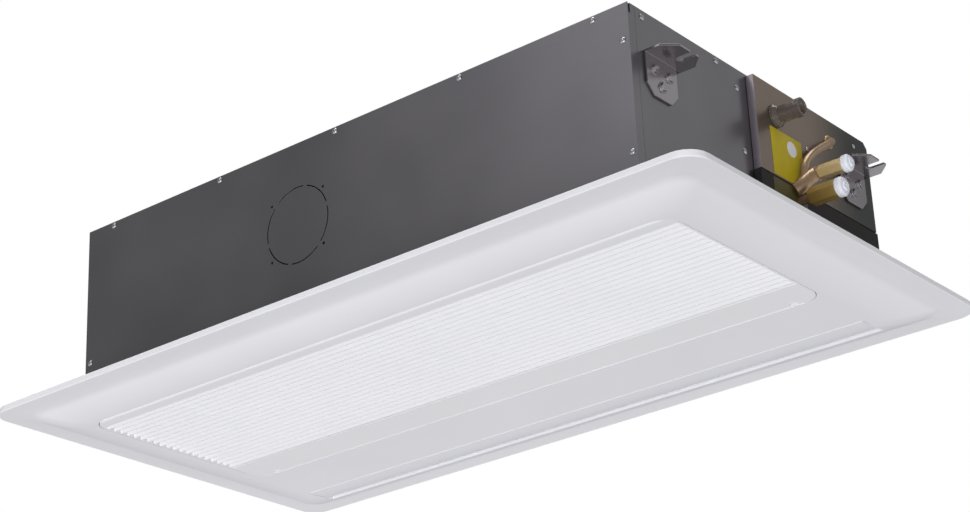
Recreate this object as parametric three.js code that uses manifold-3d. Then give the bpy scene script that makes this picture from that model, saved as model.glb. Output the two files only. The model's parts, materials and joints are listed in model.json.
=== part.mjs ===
// Ceiling cassette air conditioner, one-way discharge, built as an assembly of separate pieces.
// Millimetres, +Z up. The origin is the middle of the casing's plan, on the plane of the ceiling.
// +X points to the pipe connections, -Y to the intake side, +Y to the discharge side.
// The casing stands above the ceiling (z > 0) and the white panel hangs below it (z < 0).
import * as THREE from "three";
import { mergeVertices } from "three/addons/utils/BufferGeometryUtils.js";
import Module from "manifold-3d";

const wasm = await Module();
wasm.setup();

// ---------------------------------------------------------------- driving sizes
const SEAT = 0.3; // air left between two pieces that rest on each other
const SHEET = 1.2; // casing steel
const BODY = { length: 960, width: 544, top: 256, bottom: 6 };
const PANEL = {
  length: 1204,
  width: 667,
  x: -4.3,
  y: -3.4,
  corner: 31,
  draft: 1.5,
  rim: 32.5, // flat band round the edge
  rimDrop: 9.6, // ceiling plane down to the flat band
  crown: 15.8, // flat band down to the plateau
  cove: 66, // width over which the crown falls
  wall: 3,
};
const MARGIN = { doorEnd: 104.5, doorNear: 94.9, flapEnd: 108 }; // panel's edge to its openings
const DOOR = { width: 341, shift: 2.8, corner: 28, gap: 1.2, wall: 2.5, lip: 11, round: 6 };
const HINGE = { inset: 26, rise: 4, pin: 2, play: 0.35, boss: 5, depth: 2 };
const CATCH = { inset: 40, width: 26, depth: 9, height: 4, travel: 4, thumb: 11 };
const SLAT = { count: 20, near: 29.2, far: 69.7, thick: 1.8, rise: 10.5, lean: 7, proud: 0.6, ribs: 3 };
const FLAP = {
  width: 52.5,
  shift: -1.7,
  near: 206,
  gap: 1.2,
  farGap: 2,
  recess: 4.5,
  thick: 3.6,
  pivotIn: 12,
  pivotUp: 4.9,
  pin: 2,
};
const COLLAR = 2.5; // wall round each opening of the panel
const BOSS = { inset: 7, radius: 8 }; // the panel's seats under the casing's corners
const FILTER = { end: 16.5, near: 16, far: 57, frame: 9, thick: 4, bars: 2, columns: 8, rows: 3 };
const KNOCKOUT = { x: -69, z: 136, inner: 48, outer: 55.5, slots: 6, tab: 7, dot: 2.2, dotX: 46.5, dotZ: 41 };
const COVER = { near: -15, far: 267, bottom: 120, below: 3, depth: 11.5, chamfer: 8 };
const HANGER = {
  y: 213,
  lugBelow: 56, // casing top down to the lug
  plateWidth: 64,
  plateHeight: 58,
  thick: 3,
  lugWidth: 76,
  reach: 41,
  clip: 18,
  slot: 12,
  slotDepth: 24,
  slotShift: 14,
  bolt: 5.6,
};
const ROOM = { blind: 82, pipe: 132, fanPipe: 138, pan: 40, intake: 18 }; // end plates to what is inside
const COIL = { depth: 38, above: 9.92, footY: 78, footZ: 58, lean: 17.5, rows: 2 };
const TUBE = { count: 7, edge: 14.8, rowPitch: 19, radius: 3.8 };
const FIN = { count: 24, groove: 7 };
const FAN = { y: 172, z: 126, radius: 48, inner: 35, blades: 16, rings: 3, clear: 5.5 };
const SHAFT = { radius: 4, play: 0.4 };
const OUTLET = { near: 204, far: 262.5 };
const PAN = { near: 14, trough: 46, troughEnd: 112, floor: 40, pipeGap: 10 };
const LINER = 10; // foam thickness on the top and on the intake side
const LINER_FAR = 5; // and beside the outlet
const GAS = { y: 74, z: 102, pipe: 6.4, reach: 13, nut: 13, nutLength: 38, cap: 13.4 };
const LIQUID = { y: 90, z: 140, pipe: 5.8, elbow: 7, reach: 20, nut: 10, nutLength: 34, cap: 11.8 };
const PORT = { y: 162, below: 38 }; // where the upper pipe leaves the casing
const DRAIN = { y: 31, below: 48, radius: 11.5, bore: 9, flange: 16, reach: 41 };
const PUMP = { inset: 52, y: 80, radius: 26, spigot: 34, spigotReach: 14 };
const FLOAT = { inset: 95, y: 80, stem: 3, radius: 11, height: 18, travel: 12 };
const MOTOR = { radius: 43, length: 52, gap: 8 };
const FLAPMOTOR = { radius: 8, length: 12, up: 5, tab: 14 };
const CONTROL = { inset: 14, length: 126, y0: -256, y1: -112, below: 30, height: 98, wall: 1.2 };

// sizes that follow from those above
const END = BODY.length / 2;
const SIDE = BODY.width / 2;
const PLATEAU = -PANEL.rimDrop - PANEL.crown;
const RIM = { halfX: PANEL.length / 2 - PANEL.rim, halfY: PANEL.width / 2 - PANEL.rim };
const DOOR_NEAR = PANEL.y - PANEL.width / 2 + MARGIN.doorNear;
const DOOR_FAR = DOOR_NEAR + DOOR.width;
const DOOR_X = PANEL.x + DOOR.shift;
const DOOR_HALF = PANEL.length / 2 - MARGIN.doorEnd;
const HINGE_Y = DOOR_NEAR + HINGE.inset;
const HINGE_Z = PLATEAU + HINGE.rise;
const SLAT_FIRST = DOOR_NEAR + SLAT.near;
const SLAT_PITCH = (DOOR.width - SLAT.near - SLAT.far) / (SLAT.count - 1);
const FILTER_HALF = DOOR_HALF - FILTER.end;
const FLAP_X = PANEL.x + FLAP.shift;
const FLAP_HALF = PANEL.length / 2 - MARGIN.flapEnd;
const FLAP_PIVOT = { y: FLAP.near + FLAP.pivotIn, z: PLATEAU + FLAP.pivotUp };
const FLAP_FAR = FLAP.near + FLAP.width;
const COIL_ENDS = [-END + ROOM.blind, END - ROOM.pipe];
const FAN_FROM = COIL_ENDS[0] + 2;
const FAN_TO = END - ROOM.fanPipe;
const PAN_ENDS = [-END + ROOM.pan, END - PAN.pipeGap];
const LUG_Z = BODY.top - HANGER.lugBelow;
const COVER_FACE = END + COVER.depth;
const COVER_TOP = BODY.top - COVER.below;
const GAS_END = COVER_FACE + GAS.reach;
const LIQUID_END = COVER_FACE + LIQUID.reach;
const PORT_Z = BODY.top - PORT.below;
const DRAIN_Z = BODY.top - DRAIN.below;
const PUMP_X = END - PUMP.inset;
const FLOAT_X = END - FLOAT.inset;
const CONTROL_X = [-END + CONTROL.inset, -END + CONTROL.inset + CONTROL.length];
const CONTROL_Z = [BODY.top - CONTROL.below - CONTROL.height, BODY.top - CONTROL.below];
const ROOF = BODY.top - 4.5; // underside of the top tray's beads
const CEILING = ROOF - LINER - SEAT; // underside of the foam
const BASE_TOP = BODY.bottom + SHEET + SEAT;
const COIL_LEAN = THREE.MathUtils.degToRad(COIL.lean);
const COIL_HEIGHT = (CEILING + SEAT - COIL.above - COIL.footZ) / Math.cos(COIL_LEAN);
const TUBE_PITCH = (COIL_HEIGHT - 2 * TUBE.edge) / (TUBE.count - 1);

// ---------------------------------------------------------------- shape helpers
function solid(geometry) {
  const bare = geometry.index ? geometry.toNonIndexed() : geometry.clone();
  bare.deleteAttribute("normal");
  bare.deleteAttribute("uv");
  const merged = mergeVertices(bare, 1e-4);
  const made = new wasm.Manifold(
    new wasm.Mesh({
      numProp: 3,
      vertProperties: merged.attributes.position.array,
      triVerts: new Uint32Array(merged.index.array),
    }),
  );
  return made;
}

function join(...pieces) {
  return pieces.flat().reduce((whole, piece) => whole.add(piece));
}

function cut(whole, ...tools) {
  return tools.flat().reduce((rest, tool) => rest.subtract(tool), whole);
}

function block([x0, x1], [y0, y1], [z0, z1]) {
  const geometry = new THREE.BoxGeometry(x1 - x0, y1 - y0, z1 - z0);
  geometry.translate((x0 + x1) / 2, (y0 + y1) / 2, (z0 + z1) / 2);
  return solid(geometry);
}

function outline(points) {
  return new THREE.Shape(points.map(([a, b]) => new THREE.Vector2(a, b)));
}

function roundedOutline(cx, cy, halfX, halfY, radius) {
  const shape = new THREE.Shape();
  shape.moveTo(cx - halfX + radius, cy - halfY);
  shape.absarc(cx + halfX - radius, cy - halfY + radius, radius, -Math.PI / 2, 0);
  shape.absarc(cx + halfX - radius, cy + halfY - radius, radius, 0, Math.PI / 2);
  shape.absarc(cx - halfX + radius, cy + halfY - radius, radius, Math.PI / 2, Math.PI);
  shape.absarc(cx - halfX + radius, cy - halfY + radius, radius, Math.PI, Math.PI * 1.5);
  return shape;
}

function circleOutline(cx, cy, radius) {
  const shape = new THREE.Shape();
  shape.absarc(cx, cy, radius, 0, Math.PI * 2);
  return shape;
}

// An outline in (y, z), drawn out along X.
function alongX(shape, x0, x1, curveSegments = 6) {
  const geometry = new THREE.ExtrudeGeometry(shape, { depth: x1 - x0, bevelEnabled: false, curveSegments });
  const turn = new THREE.Matrix4().set(0, 0, 1, x0, 1, 0, 0, 0, 0, 1, 0, 0, 0, 0, 0, 1);
  return solid(geometry.applyMatrix4(turn));
}

// An outline in (x, z), drawn out along Y.
function alongY(shape, y0, y1, curveSegments = 6) {
  const geometry = new THREE.ExtrudeGeometry(shape, { depth: y1 - y0, bevelEnabled: false, curveSegments });
  const turn = new THREE.Matrix4().set(1, 0, 0, 0, 0, 0, -1, y1, 0, 1, 0, 0, 0, 0, 0, 1);
  return solid(geometry.applyMatrix4(turn));
}

// An outline in (x, y), drawn out along Z.
function alongZ(shape, z0, z1, curveSegments = 6) {
  const geometry = new THREE.ExtrudeGeometry(shape, { depth: z1 - z0, bevelEnabled: false, curveSegments });
  return solid(geometry.translate(0, 0, z0));
}

// A turned piece: [radius, height] pairs round an axis through (a, b).
function turned(axis, a, b, profile, segments = 20) {
  const points = profile.map(([r, h]) => new THREE.Vector2(r, h));
  const geometry = new THREE.LatheGeometry(points, segments);
  if (axis === "z") {
    geometry.rotateX(Math.PI / 2);
    geometry.translate(a, b, 0);
  } else {
    geometry.rotateZ(-Math.PI / 2);
    geometry.translate(0, a, b);
  }
  return solid(geometry);
}

function rod(axis, a, b, radius, from, to, segments = 16) {
  return turned(axis, a, b, [[0, from], [radius, from], [radius, to], [0, to]], segments);
}

function hexOutline(cx, cy, acrossCorners) {
  const corners = [0, 1, 2, 3, 4, 5].map((i) => (i * Math.PI) / 3);
  return outline(corners.map((t) => [cx + acrossCorners * Math.cos(t), cy + acrossCorners * Math.sin(t)]));
}

// A round bar bent along a smooth path.
function bar(points, radius, steps, sides = 8) {
  const path = new THREE.CatmullRomCurve3(points.map((p) => new THREE.Vector3(...p)), false, "centripetal");
  const section = circleOutline(0, 0, radius);
  const options = { steps, extrudePath: path, bevelEnabled: false, curveSegments: sides };
  return solid(new THREE.ExtrudeGeometry(section, options));
}

// A ring of points on a rounded rectangle, always with the same number of points.
function ring(halfX, halfY, radius, z, segments = 6) {
  const points = [];
  for (let corner = 0; corner < 4; corner += 1) {
    const sx = corner === 0 || corner === 3 ? 1 : -1;
    const sy = corner < 2 ? 1 : -1;
    for (let i = 0; i <= segments; i += 1) {
      const t = ((corner + i / segments) * Math.PI) / 2;
      const x = sx * (halfX - radius) + radius * Math.cos(t);
      const y = sy * (halfY - radius) + radius * Math.sin(t);
      points.push([PANEL.x + x, PANEL.y + y, z]);
    }
  }
  return points;
}

// A closed solid through rings that are listed from the top down.
function loft(rings) {
  const count = rings[0].length;
  const last = rings.length - 1;
  const positions = rings.flat(2);
  const centre = (z) => [PANEL.x, PANEL.y, z];
  positions.push(...centre(rings[0][0][2]), ...centre(rings[last][0][2]));
  const faces = [];
  for (let k = 0; k < last; k += 1) {
    for (let i = 0; i < count; i += 1) {
      const j = (i + 1) % count;
      const a = k * count + i;
      const b = k * count + j;
      faces.push(a, a + count, b, b, a + count, b + count);
    }
  }
  const top = rings.length * count;
  for (let i = 0; i < count; i += 1) {
    const j = (i + 1) % count;
    faces.push(top, i, j, top + 1, last * count + j, last * count + i);
  }
  const geometry = new THREE.BufferGeometry();
  geometry.setAttribute("position", new THREE.Float32BufferAttribute(positions, 3));
  geometry.setIndex(faces);
  return solid(geometry);
}

// ---------------------------------------------------------------- assembly
const unit = new THREE.Group();

const FINISH = {
  steel: { color: 0x6b6a6c, roughness: 0.35, metalness: 0.9 },
  bracket: { color: 0x545256, roughness: 0.4, metalness: 0.9 },
  white: { color: 0xdedfe3, roughness: 0.45, metalness: 0 },
  grille: { color: 0xeef0f2, roughness: 0.4, metalness: 0 },
  foam: { color: 0x2a2a2a, roughness: 0.95, metalness: 0 },
  expanded: { color: 0xe8e8e4, roughness: 0.9, metalness: 0 },
  aluminium: { color: 0xb9bcc0, roughness: 0.4, metalness: 0.9 },
  copper: { color: 0x8a5f45, roughness: 0.35, metalness: 0.95 },
  brass: { color: 0xb99a5f, roughness: 0.35, metalness: 0.9 },
  cap: { color: 0xdcdce4, roughness: 0.4, metalness: 0 },
  dark: { color: 0x3a3434, roughness: 0.4, metalness: 0 },
  black: { color: 0x1e1f21, roughness: 0.5, metalness: 0 },
  motor: { color: 0x9a9c9f, roughness: 0.4, metalness: 0.6 },
  board: { color: 0x2f5d3a, roughness: 0.6, metalness: 0 },
};

function add(name, manifold, finish) {
  const mesh = manifold.getMesh();
  const geometry = new THREE.BufferGeometry();
  geometry.setAttribute("position", new THREE.BufferAttribute(new Float32Array(mesh.vertProperties), 3));
  geometry.setIndex(new THREE.BufferAttribute(new Uint32Array(mesh.triVerts), 1));
  geometry.computeVertexNormals();
  const piece = new THREE.Mesh(geometry, new THREE.MeshStandardMaterial(FINISH[finish]));
  piece.name = name;
  unit.add(piece);
  return piece;
}

// ---------------------------------------------------------------- sheet-metal casing
const CORNER_FOLD = 14;
const INNER_END = END - SHEET - SEAT;
const INNER_SIDE = SIDE - SHEET - SEAT;

// One arc-shaped slot of the knock-out, as an outline in (x, z).
function arcSlot(inner, outer, from, to) {
  const shape = new THREE.Shape();
  shape.absarc(KNOCKOUT.x, KNOCKOUT.z, outer, from, to, false);
  shape.absarc(KNOCKOUT.x, KNOCKOUT.z, inner, to, from, true);
  return shape;
}

function knockoutCuts(y0, y1) {
  const step = (Math.PI * 2) / KNOCKOUT.slots;
  const tabAngle = KNOCKOUT.tab / KNOCKOUT.outer;
  const cuts = [];
  for (let i = 0; i < KNOCKOUT.slots; i += 1) {
    const from = i * step + tabAngle / 2 + step / 4;
    cuts.push(alongY(arcSlot(KNOCKOUT.outer - 1.6, KNOCKOUT.outer, from, from + step - tabAngle), y0, y1, 5));
  }
  for (const sx of [-1, 1]) {
    for (const sz of [-1, 1]) {
      const hole = circleOutline(KNOCKOUT.x + sx * KNOCKOUT.dotX, KNOCKOUT.z + sz * KNOCKOUT.dotZ, KNOCKOUT.dot);
      cuts.push(alongY(hole, y0, y1, 4));
    }
  }
  return cuts;
}

// A long side: a sheet with a fold at each end that lies beside the end plates.
function longSide(sign) {
  const outer = sign * SIDE;
  const inner = sign * (SIDE - SHEET);
  const span = [Math.min(outer, inner), Math.max(outer, inner)];
  const foldFrom = sign * (SIDE - CORNER_FOLD);
  const foldSpan = [Math.min(outer, foldFrom), Math.max(outer, foldFrom)];
  const height = [BODY.bottom, BODY.top];
  const slot = [BODY.top - 14, BODY.top + 1];
  const sheet = block([-END, END], span, height);
  const folds = [-1, 1].map((s) => {
    const xs = s > 0 ? [END - SHEET, END] : [-END, -END + SHEET];
    return cut(block(xs, foldSpan, height), block([xs[0] - 1, xs[1] + 1], inset(foldSpan, sign), slot));
  });
  return join(sheet, folds);
}

// The corner slot leaves the sheet itself whole and opens a narrow strip of the fold beside it.
function inset([y0, y1], sign) {
  return sign > 0 ? [y1 - 5, y1 - SHEET] : [y0 + SHEET, y0 + 5];
}

function casingNear() {
  return cut(longSide(-1), knockoutCuts(-SIDE - 1, -SIDE + SHEET + 1));
}

function casingFar() {
  return longSide(1);
}

// The top: a shallow inverted tray with two stiffening beads pressed along it.
function casingTop() {
  const x = [-INNER_END, INNER_END];
  const y = [-INNER_SIDE, INNER_SIDE];
  const tray = block(x, y, [BODY.top - CORNER_FOLD, BODY.top]);
  const hollowX = [x[0] + SHEET, x[1] - SHEET];
  const hollowY = [y[0] + SHEET, y[1] - SHEET];
  const hollow = block(hollowX, hollowY, [BODY.top - CORNER_FOLD - 1, BODY.top - SHEET]);
  const beads = [-120, 120].map((at) => {
    const section = outline([[at - 9, BODY.top + 1], [at - 4, BODY.top - 3], [at + 4, BODY.top - 3], [at + 9, BODY.top + 1]]);
    return alongX(section, -END + 90, END - 90);
  });
  const backs = [-120, 120].map((at) => {
    const low = BODY.top - 3 - SHEET;
    const section = outline([[at - 10, BODY.top - SHEET], [at - 5, low], [at + 5, low], [at + 10, BODY.top - SHEET]]);
    return alongX(section, -END + 88, END - 88);
  });
  return cut(join(cut(tray, hollow), backs), beads);
}

// An end plate: it sits between the long sides, with a fold along its foot.
function endPlate(sign) {
  const outer = sign * END;
  const face = [Math.min(outer, outer - sign * SHEET), Math.max(outer, outer - sign * SHEET)];
  const y = [-SIDE + CORNER_FOLD + SEAT, SIDE - CORNER_FOLD - SEAT];
  const foot = [Math.min(outer, outer - sign * CORNER_FOLD), Math.max(outer, outer - sign * CORNER_FOLD)];
  const plate = block(face, y, [BODY.bottom, BODY.top]);
  return join(plate, block(foot, y, [BODY.bottom, BODY.bottom + SHEET]));
}

function pipeHoles(x0, x1, spare) {
  return [
    rod("x", GAS.y, GAS.z, GAS.pipe + spare, x0, x1, 16),
    rod("x", PORT.y, PORT_Z, LIQUID.pipe + spare, x0, x1, 16),
    rod("x", DRAIN.y, DRAIN_Z, DRAIN.radius + SEAT, x0, x1, 18),
  ];
}

function casingPipeEnd() {
  return cut(endPlate(1), pipeHoles(END - 2 * SHEET, END + 1, 4));
}

function casingBlindEnd() {
  const cable = rod("x", -190, 96, 11, -END - 1, -END + 2 * SHEET, 16);
  return cut(endPlate(-1), cable);
}

// The base: a flat ring that closes the casing round the intake and the outlet.
function casingBase() {
  const z = [BODY.bottom, BODY.bottom + SHEET];
  const x = END - CORNER_FOLD - SEAT;
  const y = SIDE - SHEET - SEAT;
  const plate = block([-x, x], [-y, y], z);
  const intakeX = [-END + ROOM.intake, END - ROOM.pan];
  const intake = block(intakeX, [-SIDE + 36, PAN.near - 2], [z[0] - 1, z[1] + 1]);
  const outlet = block([FAN_FROM - 4, FAN_TO + 6], [OUTLET.near - 1, OUTLET.far + 1], [z[0] - 1, z[1] + 1]);
  return cut(plate, intake, outlet);
}

// The stepped cover over the pipe end: a shallow pan with its far top corner cut off.
function pipeCover() {
  const section = (less) => outline([
    [COVER.near + less, COVER.bottom + less],
    [COVER.far - less, COVER.bottom + less],
    [COVER.far - less, COVER_TOP - COVER.chamfer],
    [COVER.far - COVER.chamfer, COVER_TOP - less],
    [COVER.near + less, COVER_TOP - less],
  ]);
  const outer = alongX(section(0), END + SEAT, COVER_FACE);
  const hollow = alongX(section(SHEET), END - 1, COVER_FACE - SHEET);
  return cut(outer, hollow, pipeHoles(END - 2, COVER_FACE + 1, 1));
}

// Dark foam pad under the cover, round the lower pipe.
function footPad() {
  const pad = block([END + SEAT, COVER_FACE - 1], [COVER.near, SIDE], [BODY.bottom + 2, COVER.bottom - SEAT]);
  return cut(pad, rod("x", GAS.y, GAS.z, GAS.pipe + SEAT, END - 1, COVER_FACE, 12));
}

function casing() {
  add("casing_near", casingNear(), "steel");
  add("casing_far", casingFar(), "steel");
  add("casing_top", casingTop(), "steel");
  add("casing_pipe_end", casingPipeEnd(), "steel");
  add("casing_blind_end", casingBlindEnd(), "steel");
  add("casing_base", casingBase(), "steel");
  add("pipe_cover", pipeCover(), "steel");
  add("foot_pad", footPad(), "foam");
}

// ---------------------------------------------------------------- hanger brackets
// Plate on the casing with a horizontal lug at its top, slotted from its outer edge for the hanging rod.
function hanger(sign, seatX, centreY) {
  const half = HANGER.plateWidth / 2;
  const low = LUG_Z - HANGER.plateHeight;
  const clip = HANGER.clip * 0.8;
  const plate = outline([
    [centreY - half, LUG_Z],
    [centreY - half, low + clip],
    [centreY - half + clip, low],
    [centreY + half - clip, low],
    [centreY + half, low + clip],
    [centreY + half, LUG_Z],
  ]);
  const x = sign > 0 ? [seatX, seatX + HANGER.thick] : [seatX - HANGER.thick, seatX];
  const tip = seatX + sign * HANGER.reach;
  const clipX = seatX + sign * (HANGER.reach - HANGER.clip);
  const lugNear = centreY - half;
  const lugFar = lugNear + HANGER.lugWidth;
  const lug = outline([
    [seatX, lugNear],
    [clipX, lugNear],
    [tip, lugNear + HANGER.clip],
    [tip, lugFar - HANGER.clip],
    [clipX, lugFar],
    [seatX, lugFar],
  ]);
  const slotY = centreY + HANGER.slotShift;
  const slotEnd = tip - sign * (HANGER.slotDepth - HANGER.slot / 2);
  const slotX = [Math.min(slotEnd, tip + sign), Math.max(slotEnd, tip + sign)];
  const slotWall = [slotY - HANGER.slot / 2, slotY + HANGER.slot / 2];
  const slotZ = [LUG_Z - HANGER.thick - 1, LUG_Z + 1];
  const body = join(alongX(plate, ...x), alongZ(lug, LUG_Z - HANGER.thick, LUG_Z));
  const open = cut(body, block(slotX, slotWall, slotZ), alongZ(circleOutline(slotEnd, slotY, HANGER.slot / 2), ...slotZ));
  return join(open, hangerBolts(sign, x, centreY));
}

function hangerBolts(sign, [x0, x1], centreY) {
  const places = [[-16, -22], [16, -22], [-1, -41]];
  const head = sign > 0 ? [x1 - 0.5, x1 + 4] : [x0 - 4, x0 + 0.5];
  const washer = sign > 0 ? [x1 - 0.5, x1 + 1] : [x0 - 1, x0 + 0.5];
  return places.map(([dy, dz]) => {
    const y = centreY + dy;
    const z = LUG_Z + dz;
    return join(rod("x", y, z, HANGER.bolt + 2, ...washer, 12), alongX(hexOutline(y, z, HANGER.bolt + 0.6), ...head));
  });
}

function hangers() {
  const onEnd = END + SEAT;
  const onCover = COVER_FACE + SEAT;
  add("hanger_pipe_near", hanger(1, onEnd, -HANGER.y), "bracket");
  add("hanger_pipe_far", hanger(1, onCover, HANGER.y), "bracket");
  add("hanger_blind_near", hanger(-1, -onEnd, -HANGER.y), "bracket");
  add("hanger_blind_far", hanger(-1, -onEnd, HANGER.y), "bracket");
}

// ---------------------------------------------------------------- coil
// Places across the leaning coil: up its height and over its depth, as (y, z).
function onCoil(up, over) {
  const y = COIL.footY - up * Math.sin(COIL_LEAN) + over * Math.cos(COIL_LEAN);
  const z = COIL.footZ + up * Math.cos(COIL_LEAN) + over * Math.sin(COIL_LEAN);
  return [y, z];
}

function coilOutline(margin) {
  const half = COIL.depth / 2 + margin;
  return outline([
    onCoil(-margin, -half),
    onCoil(-margin, half),
    onCoil(COIL_HEIGHT + margin, half),
    onCoil(COIL_HEIGHT + margin, -half),
  ]);
}

function tubeAt(row, index) {
  return onCoil(TUBE.edge + index * TUBE_PITCH, (row - (COIL.rows - 1) / 2) * TUBE.rowPitch);
}

// Fin pack: a leaning slab whose two faces are cut into a comb.
function finPack() {
  const half = COIL.depth / 2;
  const pitch = (COIL_ENDS[1] - COIL_ENDS[0]) / FIN.count;
  const points = [];
  for (let i = 0; i < FIN.count; i += 1) {
    const x = i * pitch;
    points.push([x, half], [x + pitch * 0.6, half], [x + pitch * 0.6, half - FIN.groove], [x + pitch, half - FIN.groove]);
  }
  const back = points.map(([x, y]) => [x, -y]).reverse();
  const geometry = new THREE.ExtrudeGeometry(outline([...back, ...points].reverse()), {
    depth: COIL_HEIGHT,
    bevelEnabled: false,
  });
  geometry.rotateX(COIL_LEAN);
  geometry.translate(COIL_ENDS[0], COIL.footY, COIL.footZ);
  return solid(geometry);
}

function hairpin(x, sign, row, index) {
  const [y0, z0] = tubeAt(row, index);
  const [y1, z1] = tubeAt(row, index + 1);
  const bulge = TUBE_PITCH / 2;
  const points = [];
  const steps = 4;
  points.push([x - sign * 1, y0, z0], [x + sign * 2, y0, z0]);
  for (let i = 1; i < steps; i += 1) {
    const t = (Math.PI * i) / steps;
    const along = (1 - Math.cos(t)) / 2;
    points.push([x + sign * (2 + bulge * Math.sin(t)), y0 + (y1 - y0) * along, z0 + (z1 - z0) * along]);
  }
  points.push([x + sign * 2, y1, z1], [x - sign * 1, y1, z1]);
  return bar(points, TUBE.radius, 6, 3);
}

// A tube sheet with its return bends.
function tubeSheet(sign) {
  const face = COIL_ENDS[sign > 0 ? 1 : 0] + sign * SEAT;
  const x = sign > 0 ? [face, face + 2] : [face - 2, face];
  const outerFace = face + sign * 2;
  const bends = [];
  for (let row = 0; row < COIL.rows; row += 1) {
    for (let index = sign > 0 ? 0 : 1; index + 1 < TUBE.count; index += 2) {
      bends.push(hairpin(outerFace, sign, row, index));
    }
  }
  return join(alongX(coilOutline(2.5), ...x), bends);
}

function coil() {
  add("coil_fins", finPack(), "aluminium");
  add("coil_sheet_pipe", tubeSheet(1), "copper");
  add("coil_sheet_blind", tubeSheet(-1), "copper");
}

// ---------------------------------------------------------------- drain pan, liner and fan housing
// The side of the pan that the fan's air runs down, from the tongue to the outlet.
const TONGUE = [
  [OUTLET.near - 0.8, 18],
  [OUTLET.near - 24, 42],
  fanPoint(-103, FAN.radius + 3 * FAN.clear),
  fanPoint(-127, FAN.radius + FAN.clear),
  fanPoint(-135, FAN.radius + FAN.clear + 1),
];

function drainPan() {
  const section = outline([
    [PAN.near, 12],
    [OUTLET.near - 0.8, 12],
    ...TONGUE,
    fanPoint(-138, FAN.radius + 2 * FAN.clear + 1),
    [PAN.troughEnd + 8, 62],
    [PAN.troughEnd, 52],
    [PAN.troughEnd - 4, PAN.floor],
    [PAN.trough + 4, PAN.floor],
    [PAN.trough, PAN.floor + 4],
    [PAN.trough, 62],
    [PAN.trough - 8, 62],
    [PAN.near + 16, PAN.floor],
    [PAN.near, 24],
  ]);
  const wallTop = 62;
  const [from, to] = PAN_ENDS;
  const pan = alongX(section, from, to);
  const across = [PAN.trough - 1, PAN.troughEnd + 9];
  const dams = [from, to - 4].map((x) => block([x, x + 4], across, [PAN.floor - 1, wallTop]));
  return join(pan, dams);
}

// Expanded liner: top slab with a wall down each long side and a window behind the knock-out.
function liner() {
  const top = ROOF;
  const low = top - LINER;
  const y = INNER_SIDE - SHEET - SEAT;
  const section = outline([
    [-y, 20],
    [-y + LINER, 20],
    [-y + LINER, low],
    [y - LINER_FAR, low],
    [y - LINER_FAR, 20],
    [y, 20],
    [y, top],
    [-y, top],
  ]);
  const channel = alongX(section, -END + 20, COIL_ENDS[1] + 6);
  const window = alongY(circleOutline(KNOCKOUT.x, KNOCKOUT.z, KNOCKOUT.outer + 6), -y - 1, -y + LINER + 1, 8);
  return cut(channel, window);
}

function fanPoint(degrees, radius) {
  const t = THREE.MathUtils.degToRad(degrees);
  return [FAN.y + radius * Math.cos(t), FAN.z + radius * Math.sin(t)];
}

// Rear guide of the fan: a spiral that opens towards the outlet, then runs down to it.
function fanScroll() {
  const wall = 2;
  const from = 125;
  const count = 10;
  const start = FAN.radius + 5;
  const finish = OUTLET.far - FAN.y - 3;
  const line = [];
  for (let i = 0; i <= count; i += 1) {
    const t = i / count;
    line.push([from * (1 - t), start + (finish - start) * t]);
  }
  const inner = line.map(([degrees, radius]) => fanPoint(degrees, radius));
  const outer = line.map(([degrees, radius]) => fanPoint(degrees, radius + wall)).reverse();
  const [tipY, tipZ] = inner[0];
  const section = outline([
    [tipY - 8, CEILING],
    ...inner,
    [OUTLET.far - 1.5, 60],
    [OUTLET.far - 1, BASE_TOP],
    [OUTLET.far + wall - 1, BASE_TOP],
    [OUTLET.far + wall - 1.5, 60],
    ...outer.slice(0, -1),
    [tipY + 1.2, tipZ + 4.4],
    [tipY - 8 + wall, CEILING],
  ]);
  return alongX(section, FAN_FROM - 3, FAN_TO + 3);
}

// The plates that close the fan's chamber at each end.
function fanPlate(x0, hole) {
  const edge = TONGUE.map(([y, z]) => [y + 0.6, z + 0.6]);
  const section = outline([
    ...edge.slice().reverse(),
    [OUTLET.near, BASE_TOP + 4],
    [OUTLET.far - 2, BASE_TOP + 4],
    [OUTLET.far - 2, FAN.z + 24],
    [OUTLET.far - 20, CEILING - 45],
    [OUTLET.near - 4, CEILING],
    [OUTLET.near - 70, CEILING],
  ]);
  return cut(alongX(section, x0, x0 + 1.5), rod("x", FAN.y, FAN.z, hole, x0 - 1, x0 + 3, 20));
}

function airHousing() {
  add("drain_pan", drainPan(), "expanded");
  add("foam_liner", liner(), "foam");
  add("fan_scroll", fanScroll(), "black");
  add("fan_plate_motor", fanPlate(FAN_FROM - 5, 14), "steel");
  add("fan_plate_bearing", fanPlate(FAN_TO + 3.5, 14), "steel");
}

// ---------------------------------------------------------------- cross-flow fan
// One blade: a thin arc in section, as an outline in (y, z) before it is turned into place.
function bladeOutline(angle) {
  const thick = 1.3;
  const hollow = 2.6;
  const steps = 2;
  const faces = [0, thick].map((lift) => {
    const edge = [];
    for (let i = 0; i <= steps; i += 1) {
      const t = i / steps;
      const radial = FAN.inner + (FAN.radius - 0.6 - FAN.inner) * t;
      const side = 5 * t + hollow * Math.sin(Math.PI * t) + lift;
      const cos = Math.cos(angle);
      const sin = Math.sin(angle);
      edge.push([FAN.y + radial * cos - side * sin, FAN.z + radial * sin + side * cos]);
    }
    return edge;
  });
  return outline([...faces[0], ...faces[1].reverse()]);
}

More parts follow.
